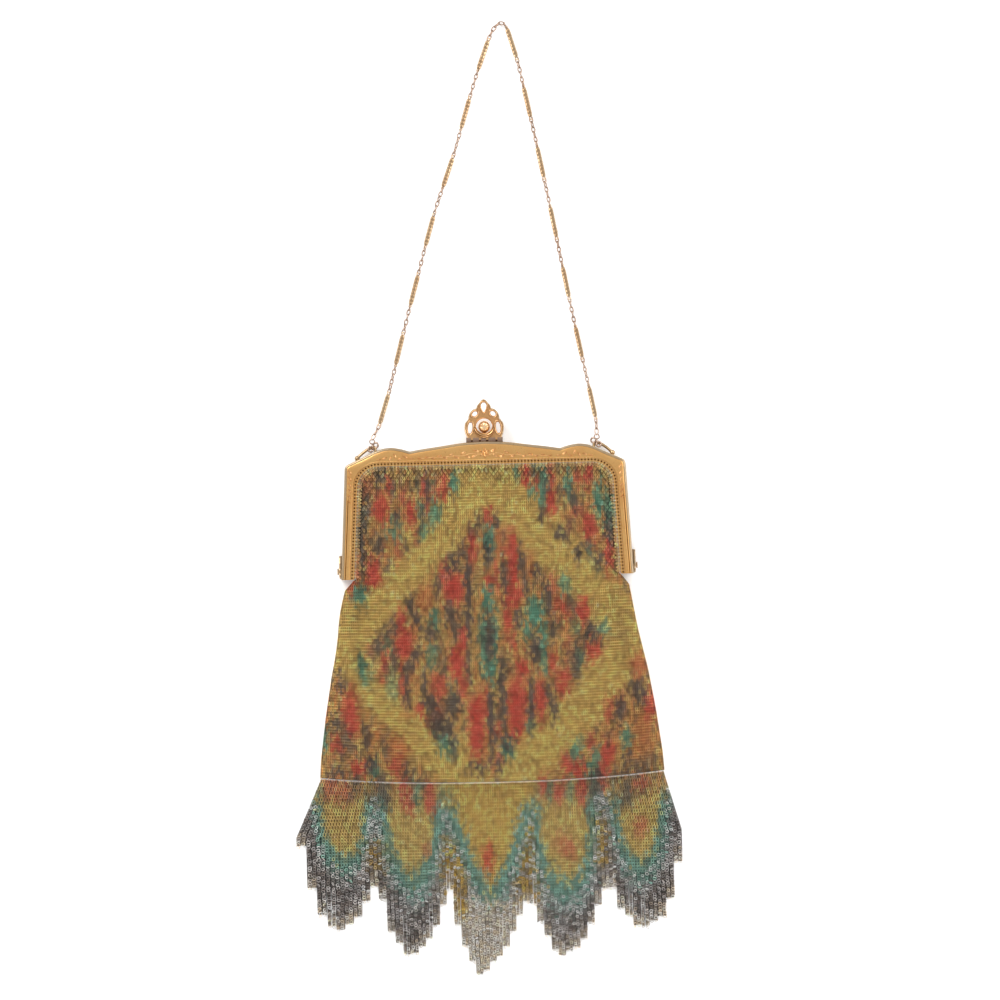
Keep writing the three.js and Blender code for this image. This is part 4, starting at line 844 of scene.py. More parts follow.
            (-15.4, -110.9, 1.2, 4, 0.8), (-22.4, -101.9, 2.8, 3.2, 0.7), (-15.1, -116.1, 1.2, 2.4, 0.6),
            (0.3, -105.2, 0.9, 12, 0.9), (-8.9, -122.2, 2, 1.6, 0.8), (-4.9, -122.3, 2, 1.6, 0.9),
            (2.7, -121.7, 1.2, 3.2, 0.9), (-0.8, -120, 1.2, 2.4, 0.6), (6.6, -112.2, 2.4, 3.6, 0.8),
            (3.6, -100.9, 1.6, 3.6, 0.6), (16, -101.6, 1, 4.8, 0.8), (25.2, -100.6, 1.2, 3.6, 0.6),
            (50.8, -101.6, 1.6, 5.2, 0.6), (46.6, -111.5, 1.2, 2.4, 0.5), (54, -119.3, 2, 2, 0.95),
            (59.1, -123.8, 3.6, 1.6, 0.7), (56.3, -124.2, 2, 1.6, 0.7), (63.2, -119.5, 3.2, 2.4, 0.5),
            (52.7, -125.3, 3.2, 1.6, 0.5), (41.5, -125.4, 2, 1.6, 0.7), (-54.6, -127.5, 1.6, 3.6, 0.8),
            (-56.7, -131.9, 1.2, 2.4, 0.5), (-44.3, -129.4, 2.4, 5.6, 0.85), (-49.2, -134.1, 2, 2.8, 0.6),
            (-42.8, -134.2, 2.4, 2.8, 0.95), (-45.1, -133, 3.2, 3.2, 0.6), (-32.2, -127.7, 1.2, 1.2, 0.5),
            (-29, -127.4, 2, 1.6, 0.5), (40.6, -129.8, 2.4, 4, 0.85), (42, -134.6, 2, 3.6, 0.9),
            (38.7, -140.2, 2.4, 3.2, 0.9), (53.3, -133.3, 1.6, 5.2, 0.85), (50, -137.2, 3.2, 2.4, 0.7),
            (55.6, -136.5, 1.2, 3.6, 0.5), (47.8, -126.4, 2.4, 2, 0.6), (58.9, -132.6, 2, 2, 0.4),
            (41.6, -137, 2.8, 2.4, 0.8),
        ],
    },
}


def softStepDown(inner, outer, at):
    return 1 - softStep(inner, outer, at)


def dyed(colour, share, dye):
    # share of each colour's way to the dye
    return colour + share[:, None] * (np.array(dye, float) - colour)


def dyedField(x, y):
    # 1 inside the lozenge and in the corners beyond the plain band round it
    lozenge = softStepDown(0.9, 1.04, np.abs(x - 0.5) / 49.5 + np.abs(y + 71) / 54)
    upper = softStep(-2, 3, np.abs(x) - 12.5 + 0.81 * (3 + y)) * softStep(-57, -50, y)
    lower = softStep(-2, 4, np.abs(x) - 62 - 0.9 * (81 + y)) * softStep(-137, -131, y) * softStepDown(-84, -76, y)
    return np.maximum(lozenge, np.maximum(upper, lower))


def patternColour(x, y, ragged):
    # colours laid over one another; ragged moves each ring's reading so that the edges break up
    jx = x + ragged[:, 0] * 0.5
    jy = y + ragged[:, 1] * 1.7
    colour = np.repeat(np.array(paint["colours"]["ground"], float)[None], len(x), 0)
    # in the fields the ground is clouded with olive, orange and dark in upright streaks
    field = paint["fieldShare"] * dyedField(jx, jy)
    streak = 0.6 * np.sin(1.9 * x + 1.3 * np.sin(0.23 * y)) + 0.5 * np.sin(0.83 * x - 0.31 * y) + 0.6 * ragged[:, 2]
    for share, key in ((field, "olive"), (field * softStep(0.1, 0.9, streak), "orange"),
                       (field * softStep(-0.3, -1.1, streak), "dark")):
        colour = dyed(colour, share, paint["colours"][key])
    for key, strokes in paint["strokes"].items():
        for across, up, wide, tall, strength in strokes:
            near = np.abs(jx - across) < 2.2 * wide
            far = np.sqrt(((jx[near] - across) / (wide + 0.3)) ** 2 + ((jy[near] - up) / (tall + 0.4)) ** 2)
            share = strength * softStepDown(0.55, 1.4, far + 0.18 * ragged[near, 2])
            colour[near] = dyed(colour[near], share, paint["colours"][key])
    return colour


# Fringe: five woven tongues with loose strands round them

fringe = {
    "long": 77,
    "headHalf": 68.5,
    "half": 79,
    "lean": (10.5, 6.7),  # how far the outermost strands lean out, left and right
    "top": -128.4,
    "thick": 2.4,
    "strandPitch": 2.75 / 3,
    "loosePitch": 2.75 / 2,
    "fanLong": 20,
    "fanPower": 3,
    "pointPower": 1.8,
    "lastPower": 2.7,  # the point on the right is blunter on its outer side
    "row": 1.23,
    "looseRow": 1.02,
    "colours": {"teal": (138, 182, 166), "grey": (166, 172, 168), "black": (130, 120, 114),
                "beige": (255, 234, 204), "olive": (226, 182, 90), "pale": (214, 208, 166)},
    # yellow strands between the points: middle, half width, and where they start and end below the seam
    "wedges": [(13.3, 4.6, 9, 46), (-18.0, 4.4, 16, 42), (-13.6, 2.6, 26, 50)],
    "silver": 0.56,  # share of the loose rings made pale silver, partly dye worn off and partly painted glints
    "silverColour": (236, 232, 230),
    "sheetShade": 0.56,  # painted shade: share of their colour kept by the strips under the rings
    "tips": [(-0.81, 0.765), (-0.438, 0.893), (-0.09, 1.0), (0.33, 0.908), (0.729, 0.787)],
    "valleys": [(-1.0, 0.26), (-0.613, 0.506), (-0.24, 0.545), (0.167, 0.575), (0.568, 0.51), (0.953, 0.265)],
    # tongues: middle across, half width at the seam, length below it, and how blunt, from 1, a plain point
    "tongues": [(-60.0, 8.4, 27, 2.0), (-32.8, 10.0, 35, 1.7), (-1.5, 15.5, 44, 0.97), (28.3, 9.6, 38, 2.4),
                (58.3, 8.4, 31, 2.0)],
}


fringe["uneven"] = 1.1 * random.standard_normal(80) + 0.3
fringe["slits"] = random.random(160) < 0.1


def fanned(x, below):
    # where a strand that starts at x has leant to
    lean = np.where(x < 0, -fringe["lean"][0], fringe["lean"][1])
    lean = lean * (np.abs(x) / fringe["headHalf"]) ** fringe["fanPower"]
    return x + lean * np.minimum(below / fringe["fanLong"], 1)


def fringeDrop(x):
    # length of the strand at x: a power curve from each valley to the tip beside it
    across = x / fringe["half"]
    tips, valleys = np.array(fringe["tips"]), np.array(fringe["valleys"])
    index = np.clip(np.searchsorted(valleys[:, 0], across) - 1, 0, len(tips) - 1)
    tip = tips[index]
    valley = valleys[np.where(across < tip[:, 0], index, index + 1)]
    share = np.minimum(np.abs((across - tip[:, 0]) / (valley[:, 0] - tip[:, 0])), 1)
    power = np.where(across > tips[-1, 0], fringe["lastPower"], fringe["pointPower"])
    drop = fringe["long"] * (tip[:, 1] - (tip[:, 1] - valley[:, 1]) * share ** power)
    return np.maximum(drop, fringe["fanLong"] + fringe["strandPitch"])


def tongueDistance(x, below):
    # 0 in the middle of a tongue and 1 on its rounded edge, and which tongue is nearest
    best, which = np.full(len(x), 9.0), np.zeros(len(x), int)
    for number, (middle, wide, long, blunt) in enumerate(fringe["tongues"]):
        far = (np.abs(x - middle) / wide) ** blunt + np.clip(below / long, 0, None) ** (1.3 * blunt)
        far = far ** (1 / blunt)
        which = np.where(far < best, number, which)
        best = np.minimum(best, far)
    return best, which


def fringeColour(x, below, fromEnd, ragged, base):
    # from the tongues outwards the pouch's paint, teal, grey and black, then the wedges and the pale ends
    far, which = tongueDistance(x + ragged[:, 0] * 0.8, below + ragged[:, 1] * 1.6)
    colours = fringe["colours"]
    colour = dyed(base, 0.2 * (which != 2), colours["pale"])
    for low, high, key in ((0.93, 1.12, "teal"), (1.36, 1.55, "grey"), (1.46, 1.75, "black")):
        share = softStep(low, high, far + 0.07 * ragged[:, 2]) * softStep(3, 12, below + ragged[:, 1] * 2)
        colour = dyed(colour, share, colours[key])
    golden = np.where(which == 2, softStep(44, 50, below + ragged[:, 1] * 3), 0)
    wedge = sum(np.exp(-((x - middle) / wide) ** 2) * softStep(top, top + 10, below)
                * softStepDown(end, end + 8, below) for middle, wide, top, end in fringe["wedges"])
    olive = np.clip(wedge * softStep(1.2, 1.45, far), 0, 1) * (0.62 + 0.45 * ragged[:, 2])
    between = (np.exp(-((x + 46.8) / 4.0) ** 2) * softStep(18, 24, below)
               + np.exp(-((x - 43.0) / 3.4) ** 2) * softStep(10, 16, below))
    olive = np.maximum(olive, np.clip(between, 0, 1) * softStepDown(30, 40, below) * (0.45 + 0.4 * ragged[:, 2]))
    for share, key in ((golden, "beige"), (np.clip(olive, 0, 1), "olive"),
                       (0.85 * softStepDown(2.5, 8.5, fromEnd + ragged[:, 1] * 1.8), "beige")):
        colour = dyed(colour, np.clip(share, 0, 1), colours[key])
    return colour


# Rings of the mesh

weave = {
    "pitch": 0.857,
    "row": 1.2,
    "wide": 0.375,  # half width to the wire's middle at the points of a six-sided ring
    "tall": 0.82,
    "wire": 0.112,
    "lean": -12,  # degrees, each ring's lower end over the next ring's upper one
    "sink": 0.4,  # panel's outside to the rings' middles
    "shade": (1.12, 0.48, 0.94),  # painted light and shade: share of colour on the top, the inside and the outside of each wire
    "loosened": 9,  # mouth to where the links hang straight again
    "swing": 21,  # degrees, of the links pulled into V shapes near the mouth
    "patch": (1.7, 1.3, 0.09),  # rings that lie alike, across and along, and how much their light differs
}
patches = random.standard_normal((97, 97))


def ringMaterial(name, glint, smooth, metallic):
    # paint on metal rings, rubbed through to bright metal here and there
    material, tree, shader = newMaterial(name)
    colour = addNode(tree, "ShaderNodeAttribute", attribute_name="paint").outputs["Color"]
    place = addNode(tree, "ShaderNodeTexCoord").outputs["Object"]
    fine = noise(tree, place, 2600, 2, 0.6)
    broad = noise(tree, place, 140, 3)
    worn = math1(tree, "MULTIPLY", ranged(tree, fine, 0.56, 0.72), ranged(tree, broad, 0.35, 0.7, 0.35, 1.0),
                 clamp=True)
    shade = mixColour(tree, ranged(tree, broad, 0.35, 0.7, 0.0, 0.35), colour,
                      mixColour(tree, 1.0, colour, rgba((225, 212, 196)), "MULTIPLY"))
    shader.inputs["Specular IOR Level"].default_value = 0.3
    rubbed = mixColour(tree, math1(tree, "MULTIPLY", worn, 0.6), shade, rgba(glint))
    tree.links.new(rubbed, shader.inputs["Base Color"])
    tree.links.new(ranged(tree, worn, 0.0, 1.0, metallic, 0.95), shader.inputs["Metallic"])
    tree.links.new(ranged(tree, fine, 0.3, 0.7, smooth + 0.12, smooth - 0.08), shader.inputs["Roughness"])
    raised = addNode(tree, "ShaderNodeBump", {"Height": fine, "Distance": 0.00003, "Strength": 0.5})
    tree.links.new(raised.outputs[0], shader.inputs["Normal"])
    return material


def backingMaterial(name):
    # the mesh behind the rings: its paint with painted shade in its own gaps, with rings a row and a column apart
    # raised by bump
    material, tree, shader = newMaterial(name)
    colour = addNode(tree, "ShaderNodeAttribute", attribute_name="paint").outputs["Color"]
    place = addNode(tree, "ShaderNodeSeparateXYZ", {0: addNode(tree, "ShaderNodeTexCoord").outputs["Object"]})
    waves = []
    for axis, pitch in (("X", weave["pitch"]), ("Y", weave["row"])):
        turn = math1(tree, "MULTIPLY", place.outputs[axis], 2 * math.pi / (pitch * mm))
        waves.append(math1(tree, "MULTIPLY_ADD", math1(tree, "COSINE", turn), 0.5, 0.5))
    gap = math1(tree, "MULTIPLY", waves[0], waves[1])
    # painted shade: the colour darkens in the gaps between the rings
    dark = mixColour(tree, 1.0, colour, rgba((110, 96, 80)), "MULTIPLY")
    tree.links.new(mixColour(tree, ranged(tree, gap, 0.25, 0.75), colour, dark), shader.inputs["Base Color"])
    shader.inputs["Roughness"].default_value = 0.55
    shader.inputs["Metallic"].default_value = 0.3
    raised = addNode(tree, "ShaderNodeBump", {"Height": gap, "Distance": 0.0003, "Strength": 1.0}, invert=True)
    tree.links.new(raised.outputs[0], shader.inputs["Normal"])
    return material


paintedRings = ringMaterial("paintedRings", (250, 232, 186), 0.42, 0.12)
strandRings = ringMaterial("strandRings", (246, 242, 236), 0.36, 0.2)
backing = backingMaterial("backing")


def jittered(colour, spread):
    # rings differ a little in brightness, some catch the light and some are dull
    gain = 1 + spread * random.standard_normal(len(colour))
    return light(np.clip(colour * np.clip(gain, 0.55, 1.5)[:, None], 0, 255))


def patchLight(x, y):
    wide, tall, share = weave["patch"]
    return 1 + share * patches[(x // wide).astype(int) % 97, (y // tall).astype(int) % 97]


def leaned(across, up, turn):
    # the ring's long axis turned out of its surface about its short one
    normal = np.cross(across, up)
    return up * np.cos(turn)[:, None] + normal * np.sin(turn)[:, None]


def surfaceAxes(x, y, height, step=0.4):
    # slopes of a height function as two unit axes, one along a row and one along a column
    dx = (height(x + step, y) - height(x - step, y)) / (2 * step)
    dy = (height(x, y + step) - height(x, y - step)) / (2 * step)
    across = unit(np.column_stack([np.ones_like(x), np.zeros_like(x), np.clip(dx, -1.5, 1.5)]))
    up = np.column_stack([np.zeros_like(x), np.ones_like(x), np.clip(dy, -1.5, 1.5)])
    up = unit(up - across * np.sum(up * across, axis=1, keepdims=True))
    return across, up


def ringPieces(name, rings, material, most=5200):
    # cut into pieces of at most so many rings, each with a map for the rings' own places
    pieces = []
    count = len(rings["centre"])
    parts = int(math.ceil(count / most))
    for number, index in enumerate(np.array_split(np.arange(count), parts)):
        points, faces = ringCloud(rings["centre"][index], rings["across"][index], rings["up"][index],
                                  rings["radii"][index], rings["wire"][index])
        # painted light and shade on every wire: its top lighter, its inside and outside darker
        shade = np.tile(weave["shade"], 6)  # around each six-sided ring
        colours = np.minimum(rings["colour"][index][:, None] * shade[None, :, None], 1).reshape(-1, 3)
        piece = addPiece(f"{name}{number + 1}", points, faces, material, attributes={"paint": colours})
        addRingMap(piece.data, len(index), 6, 3)
        pieces.append(piece)
    return pieces


def addRingMap(mesh, count, around, sides):
    # one cell of the map for each ring, with its wire laid out flat in it
    side = int(math.ceil(math.sqrt(count)))
    ring = np.arange(count)
    cell = np.stack([ring % side, ring // side], axis=1)[:, None, None] / side
    a, s = np.meshgrid(np.arange(around), np.arange(sides), indexing="ij")
    corners = np.array([(0, 0), (0, 1), (1, 1), (1, 0)])
    local = np.stack([(a.ravel()[:, None] + corners[:, 0]) / around,
                      (s.ravel()[:, None] + corners[:, 1]) / sides], axis=-1)
    places = cell + (0.08 + 0.84 * local[None]) / side
    layer = mesh.uv_layers.new(name="OFBake")
    layer.data.foreach_set("uv", places.astype(np.float32).ravel())


def pouchFront(x, y):
    return pouchHeights(x, y)[1]


def seamLift(x, y):
    # rows curve up towards the sides, more and more towards the seam
    down = np.clip((pouch["mouthY"] - y) / (pouch["mouthY"] - pouch["seamY"]), 0, 1)
    return pouch["seamLift"] * down**1.5 * (np.abs(x) / 69) ** 2.4


def pouchRings():
    # rows and columns of upright rings laid on the front panel, each leaning on the next
    rows = np.arange(0, 108)
    columns = np.arange(-86, 86) + 0.5
    row, column = (grid.ravel() for grid in np.meshgrid(rows, columns, indexing="ij"))
    down = row * weave["row"] / 127
    x = column * weave["pitch"] * (0.965 + 0.05 * down)
    y = pouch["mouthY"] - 2.1 - row * weave["row"]
    zigzag = np.where((column - 0.5 + row) % 2 == 0, 1, -1)
    y = y + seamLift(x, y) + 0.1 * np.sin(x / 7 + row * 0.6) + 0.03 * random.standard_normal(len(x))
    x = x + 0.09 * np.sin(y / 6 + x / 11) + 0.025 * random.standard_normal(len(x))
    seam = pouch["seamY"] + seamLift(x, np.full(len(x), pouch["seamY"]))
    inside = (np.abs(x) < pouchHalfAt(y) - np.where(y > -purse["armDrop"], 1.7, 0.05)) & (y > seam + 0.5)
    inside &= y < pouch["mouthY"] - 1.8
    x, y, zigzag = x[inside], y[inside], zigzag[inside]
    across, up = surfaceAxes(x, y, pouchFront)
    turn = np.radians(weave["lean"]) + 0.1 * random.standard_normal(len(x))
    normal = np.cross(across, up)
    toMouth = np.where(y > -purse["armDrop"], np.minimum(pouch["mouthY"] - y, pouchHalfAt(y) - np.abs(x)), 99)
    loosened = softStep(weave["loosened"], 1, toMouth)
    swing = np.radians(weave["swing"]) * zigzag * loosened + 0.05 * random.standard_normal(len(x))
    cos, sin = np.cos(swing)[:, None], np.sin(swing)[:, None]
    across, up = cos * across + sin * up, cos * up - sin * across
    _, front, valley = pouchHeights(x, y)
    centre = np.column_stack([x + leftBulge(x, y), y, front]) - weave["sink"] * normal
    sideways = 0.12 * random.standard_normal(len(x))
    across = unit(across + normal * sideways[:, None])
    up = leaned(across, unit(up - across * np.sum(up * across, axis=1, keepdims=True)), turn)
    ragged = random.standard_normal((len(x), 3))
    # painted shade along the folds' valleys, and painted light differing between patches of rings
    colour = patternColour(x, y, ragged) * ((1 - 0.16 * valley) * patchLight(x, y))[:, None]
    radii = np.column_stack([weave["wide"] * (1 - 0.22 * loosened), weave["tall"] * (1 + 0.05 * loosened)])
    return {"centre": centre, "across": across, "up": up, "radii": radii, "wire": np.full(len(x), weave["wire"]),
            "colour": jittered(colour, 0.14 + 0.1 * loosened)}


def mouthLinks(heightAt):
    # a wire loop through each sewing hole, and two links that hang apart below it in a V
    places, out = mouthLine(1.33)
    sets = []
    for depth, wide, tall, wire, swing, shift, part in (
            (0.72, 0.3, 0.95, 0.13, 90, 0, "wire"), (1.85, 0.26, 0.86, 0.13, -20, 0.27, "rings"),
            (1.9, 0.26, 0.86, 0.13, 20, -0.27, "rings")):
        along = np.column_stack([out[:, 1], -out[:, 0]])
        flat = places - depth * out + shift * along
        keep = flat[:, 1] > -purse["armDrop"] + 0.8
        swings = np.radians(swing) + (0.15 * random.standard_normal(len(flat)) if part == "rings" else 0)
        swings = np.broadcast_to(swings, (len(flat),))
        up = out
        if part == "rings":
            up = np.column_stack([out[:, 0] * np.cos(swings) - out[:, 1] * np.sin(swings),
                                  out[:, 0] * np.sin(swings) + out[:, 1] * np.cos(swings)])
            across = np.column_stack([up[:, 1], -up[:, 0], 0.3 * random.standard_normal(len(flat))])
        else:
            across = np.column_stack([0 * out, np.ones(len(flat))])
        up = np.column_stack([up, np.zeros(len(flat))])
        across = unit(across)
        up = unit(up - across * np.sum(up * across, axis=1, keepdims=True))
        z = heightAt(flat, part)
        sets.append({"centre": np.column_stack([flat, z])[keep], "across": across[keep], "up": up[keep],
                     "radii": np.repeat([[wide, tall]], keep.sum(), 0), "wire": np.full(keep.sum(), wire),
                     "flat": flat[keep], "bare": np.full(keep.sum(), part == "wire")})
    rings = {key: np.concatenate([one[key] for one in sets]) for key in sets[0]}
    ragged = random.standard_normal((len(rings["flat"]), 3))
    colour = patternColour(rings["flat"][:, 0], rings["flat"][:, 1], ragged)
    worn = 0.7 * colour + 0.3 * np.array((240, 220, 170.0))
    colour = np.where(rings["bare"][:, None], np.array((240, 206, 150.0)), worn)
    rings["colour"] = jittered(colour, 0.15)
    return rings


def frontLinkHeight(flat, part):
    return np.full(len(flat), 7.75) if part == "wire" else pouchFront(flat[:, 0], np.minimum(flat[:, 1], -1.3)) - 0.36


def rearLinkHeight(flat, part):
    return np.full(len(flat), 1.15) if part == "wire" else 1.4 - 0.4 * softStep(0, -10, flat[:, 1])


seam = {"half": 68.4, "pitch": 1.5, "radii": (0.24, 0.32), "wire": 0.16, "zigzag": 0.16, "colour": (250, 226, 214)}


def seamRings():
    # small bright links in a zigzag where the fringe is joined on
    x = np.arange(-seam["half"], seam["half"] + 0.1, seam["pitch"])
    x = x + 0.1 * random.standard_normal(len(x))
    y = pouch["seamY"] - 0.15 + seamLift(x, np.full(len(x), pouch["seamY"]))
    y = y + seam["zigzag"] * np.where(np.arange(len(x)) % 2 == 0, 1, -1) + 0.08 * random.standard_normal(len(x))
    z = pouchFront(x, np.full(len(x), pouch["seamY"] + 0.4)) - 0.35
    turn = np.where(np.arange(len(x)) % 2 == 0, 0.7, -0.7) + 0.25 * random.standard_normal(len(x))
    across = np.column_stack([np.cos(turn), np.sin(turn), 0 * turn])
    up = np.column_stack([-np.sin(turn), np.cos(turn), 0 * turn])
    colour = patternColour(x, y, random.standard_normal((len(x), 3)))
    colour = dyed(colour, random.uniform(0.15, 0.7, len(x)), seam["colour"])
    return {"centre": np.column_stack([x, y, z]), "across": across, "up": up,
            "radii": np.repeat([seam["radii"]], len(x), 0), "wire": np.full(len(x), seam["wire"]),
            "colour": jittered(colour, 0.15)}


def strandSpans(pitch):
    # each strand's middle at the seam and its length
    count = int(round(2 * fringe["headHalf"] / pitch))
    edge = fringe["headHalf"] * (2 * np.arange(count + 1) / count - 1)
    middle = (edge[:-1] + edge[1:]) / 2
    pair = np.arange(count) // 2
    step = fringeDrop(fanned(middle, fringe["fanLong"]))[2 * pair] + fringe["uneven"][pair]
    return middle, np.maximum(step, fringe["fanLong"])


def fringeRings(loosely):
    # one column of rings to a strand: upright and even in the tongues, rounder, wider and unsettled outside them
    middle, drop = strandSpans(fringe["loosePitch"] if loosely else fringe["strandPitch"])
    pitch = fringe["looseRow"] if loosely else fringe["row"]
    strand, row = (grid.ravel() for grid in np.meshgrid(np.arange(len(middle)), np.arange(0, 84), indexing="ij"))
    below = 0.55 + pitch * (row + 0.5 * loosely * (strand % 2))
    head = middle[strand]
    far, _ = tongueDistance(fanned(head, below), below)
    loose = softStep(1.15, 1.4, far) * softStep(3, 8, below)
    keep = (below < drop[strand] - 0.7) & ((loose > 0.5) == loosely)
    strand, below, head, loose = strand[keep], below[keep], head[keep], loose[keep]
    stretch = fanned(head + 0.5, below) - fanned(head - 0.5, below)
    lift = seamLift(head, np.full(len(head), pouch["seamY"])) * np.clip(1 - below / 18, 0, 1)
    wander = random.standard_normal((len(head), 6))
    sway = 0.25 * np.sin(below / 5 + strand * 0.7) * loose * softStep(0.5, 0.8, below / drop[strand])
    x = fanned(head, below) + sway + (0.03 + 0.07 * loose) * wander[:, 0]
    y = fringe["top"] - below + lift + (0.02 + 0.08 * loose) * wander[:, 1]
    z = fringe["thick"] - 0.62 - 0.1 * loose + 0.16 * loose * wander[:, 2] + 1.3 * np.clip(1 - below / 8, 0, 1)
    turn = np.radians(weave["lean"]) * (1 - loose) + 0.5 * loose * wander[:, 3]
    spin = (0.05 + 0.4 * loose) * wander[:, 4]
    across = unit(np.column_stack([np.cos(spin), np.sin(spin), (0.1 + 0.4 * loose) * wander[:, 5]]))
    up = np.column_stack([-np.sin(spin), np.cos(spin), np.zeros(len(x))])
    up = unit(up - across * np.sum(up * across, axis=1, keepdims=True))
    wide, tall = (0.6, 0.52) if loosely else (weave["wide"] * 1.05, weave["tall"])
    radii = np.column_stack([wide * stretch, np.full(len(x), tall)])
    ragged = random.standard_normal((len(x), 3))
    colour = fringeColour(x, below, drop[strand] - below, ragged, patternColour(x, y, ragged))
    # painted glints, partly worn dye: some loose rings without a warm dye are made pale silver
    bright = (random.random(len(x)) < fringe["silver"]) & loosely & (colour[:, 0] - colour[:, 2] < 70)
    colour = np.where(bright[:, None], 0.35 * colour + 0.65 * np.array(fringe["silverColour"], float), colour)
    colour = colour * patchLight(x, y)[:, None]
    return {"centre": np.column_stack([x, y, np.clip(z, 0.85, None)]), "across": across,
            "up": leaned(across, up, turn), "radii": radii,
            "wire": np.full(len(x), 0.15 if loosely else weave["wire"]), "colour": jittered(colour, 0.13)}


def leftBulge(x, y):
    # below the left arm the side stands out a little further
    return -1.4 * np.exp(-(((y + 60) / 12) ** 2)) * np.clip(-x / 60, 0, 1) ** 2 * softStep(-45, -50, y)


def pouchShell():
    # one closed loop of front, side, back and side at every height, with the loops' sides left open beside the arms
    besideArms = np.concatenate([[-1.35, -1.9, -3, -4.5, -6.5, -8.5, -10.7], np.linspace(-13, -45.9, 16)])
    y = np.concatenate([besideArms, np.linspace(-46.4, -127.9, 40)])
    count = 61  # points across each panel
    share = np.linspace(-1, 1, count)
    share = np.sign(share) * (1 - (1 - np.abs(share)) ** 1.25)
    half = pouchHalfAt(y) - 0.45
    x = half[:, None] * share
    yy = np.repeat(y[:, None], len(share), 1)
    back, front, _ = pouchHeights(x, yy)
    lift = seamLift(x, yy)
    x = x + leftBulge(x, yy)
    top = np.dstack([x, yy + lift, front - 1.0])
    bottom = np.dstack([x, yy + lift, back + 0.3])[:, ::-1]
    thirds, bulge = np.array([1 / 3, 2 / 3])[None, :, None], np.array([0.3, 0, 0])
    rightSide = top[:, -1:] + (bottom[:, :1] - top[:, -1:]) * thirds + bulge
    leftSide = bottom[:, -1:] + (top[:, :1] - bottom[:, -1:]) * thirds - bulge
    loop = np.concatenate([top, rightSide, bottom, leftSide], axis=1)
    rows, columns = loop.shape[:2]
    faces = gridQuads(rows, columns, closeColumns=True)
    column = faces[:, 0] % columns
    leftStart = 2 * count + 1
    beside = (column >= count - 1) & (column < count + 2) | (column >= leftStart)
    faces = faces[~(beside & (faces[:, 0] // columns < len(besideArms)))]
    k = np.arange(count - 1)
    last = (rows - 1) * columns
    foot = np.stack([last + k, last + k + 1, last + leftStart - k - 1, last + leftStart - k], axis=1)
    faces = np.vstack([faces, foot])
    points = loop.reshape(-1, 3)
    ragged = 0.5 * random.standard_normal((len(points), 3))
    colour = patternColour(points[:, 0], points[:, 1], ragged)
    inFront = np.arange(len(points)) % columns < count
    # painted shade: the front under the rings keeps a smaller share of its colour for the shade in the rings' gaps,
    # less still near the mouth where the links hang apart
    toMouth = np.minimum(-points[:, 1], np.where(points[:, 1] > -purse["armDrop"], 54 - np.abs(points[:, 0]), 99))
    under = 0.48 - 0.18 * softStep(weave["loosened"], 2, toMouth)
    colour = colour * np.where(inFront, under, 0.95)[:, None]
    return points, faces[:, ::-1], light(np.clip(colour, 0, 255))


def fringeShell():
    # under each strand a flat closed strip from the seam to near its end, narrower once it hangs loose
    middle, drop = strandSpans(fringe["loosePitch"])
    share = np.linspace(0, 1, 23)
    below = 0.2 + (drop[:, None] - 1.7) * share
    slit = softStep(0.7, 0.9, share)[None] * fringe["slits"][:len(middle), None]
    narrow = 0.995 - 0.05 * softStep(0.93, 1.0, share) - 0.3 * slit
    lift = seamLift(middle, np.full(len(middle), pouch["seamY"]))[:, None] * np.clip(1 - below / 18, 0, 1)
    half = fringe["loosePitch"] / 2 * narrow
    left, right = fanned(middle[:, None] - half, below), fanned(middle[:, None] + half, below)
    section = np.array([(-1, 0), (-0.5, 0.45), (0.5, 0.45), (1, 0), (0.5, -0.45), (-0.5, -0.45)])
    x = (left + right)[..., None] / 2 + (right - left)[..., None] / 2 * section[:, 0]
    y = np.broadcast_to((fringe["top"] - below + lift)[..., None], x.shape)
    points = np.stack([x, y, np.broadcast_to(0.62 + section[:, 1], x.shape)], axis=-1).reshape(-1, 3)
    size = len(share) * len(section)
    one = np.vstack([gridQuads(len(share), len(section), closeColumns=True), endCaps(len(share), len(section))])
    one = outward(points[:size] - points[:size].mean(axis=0), one)
    faces = repeated(one, len(middle), size)
    ragged = 0.6 * random.standard_normal((len(points), 3))
    under = np.repeat(below.ravel(), len(section))
    ends = np.repeat(drop, size)
    base = patternColour(points[:, 0], points[:, 1], ragged)
    colour = fringeColour(points[:, 0], under, ends - under, ragged, base)
    # painted shade: the strips under the rings are darkened
    return points, faces, light(np.clip(fringe["sheetShade"] * colour, 0, 255))


points, faces, colours = pouchShell()
pouchSheet = addPiece("pouchSheet", points, faces, backing, attributes={"paint": colours})
thicken = pouchSheet.modifiers.new("thickness", "SOLIDIFY")
thicken.thickness = 0.45 * mm
thicken.offset = -1
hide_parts("pouch")
pouchPieces = ringPieces("pouchRings", pouchRings(), paintedRings)
ringPieces("mouthLinksFront", mouthLinks(frontLinkHeight), paintedRings)
ringPieces("mouthLinksRear", mouthLinks(rearLinkHeight), paintedRings)
ringPieces("seamRings", seamRings(), paintedRings)
print("pouch is made:", len(pouchPieces), "ring pieces")

points, faces, colours = fringeShell()
fringeSheet = addPiece("fringeSheet", points, faces, backing, attributes={"paint": colours})
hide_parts("fringe")
tonguePieces = ringPieces("tongueRings", fringeRings(False), paintedRings)
strandPieces = ringPieces("strandRings", fringeRings(True), strandRings)
print("fringe is made:", len(tonguePieces) + len(strandPieces), "ring pieces")


# Chain: flat bars joined by runs of small oval links, along the route that its solid takes

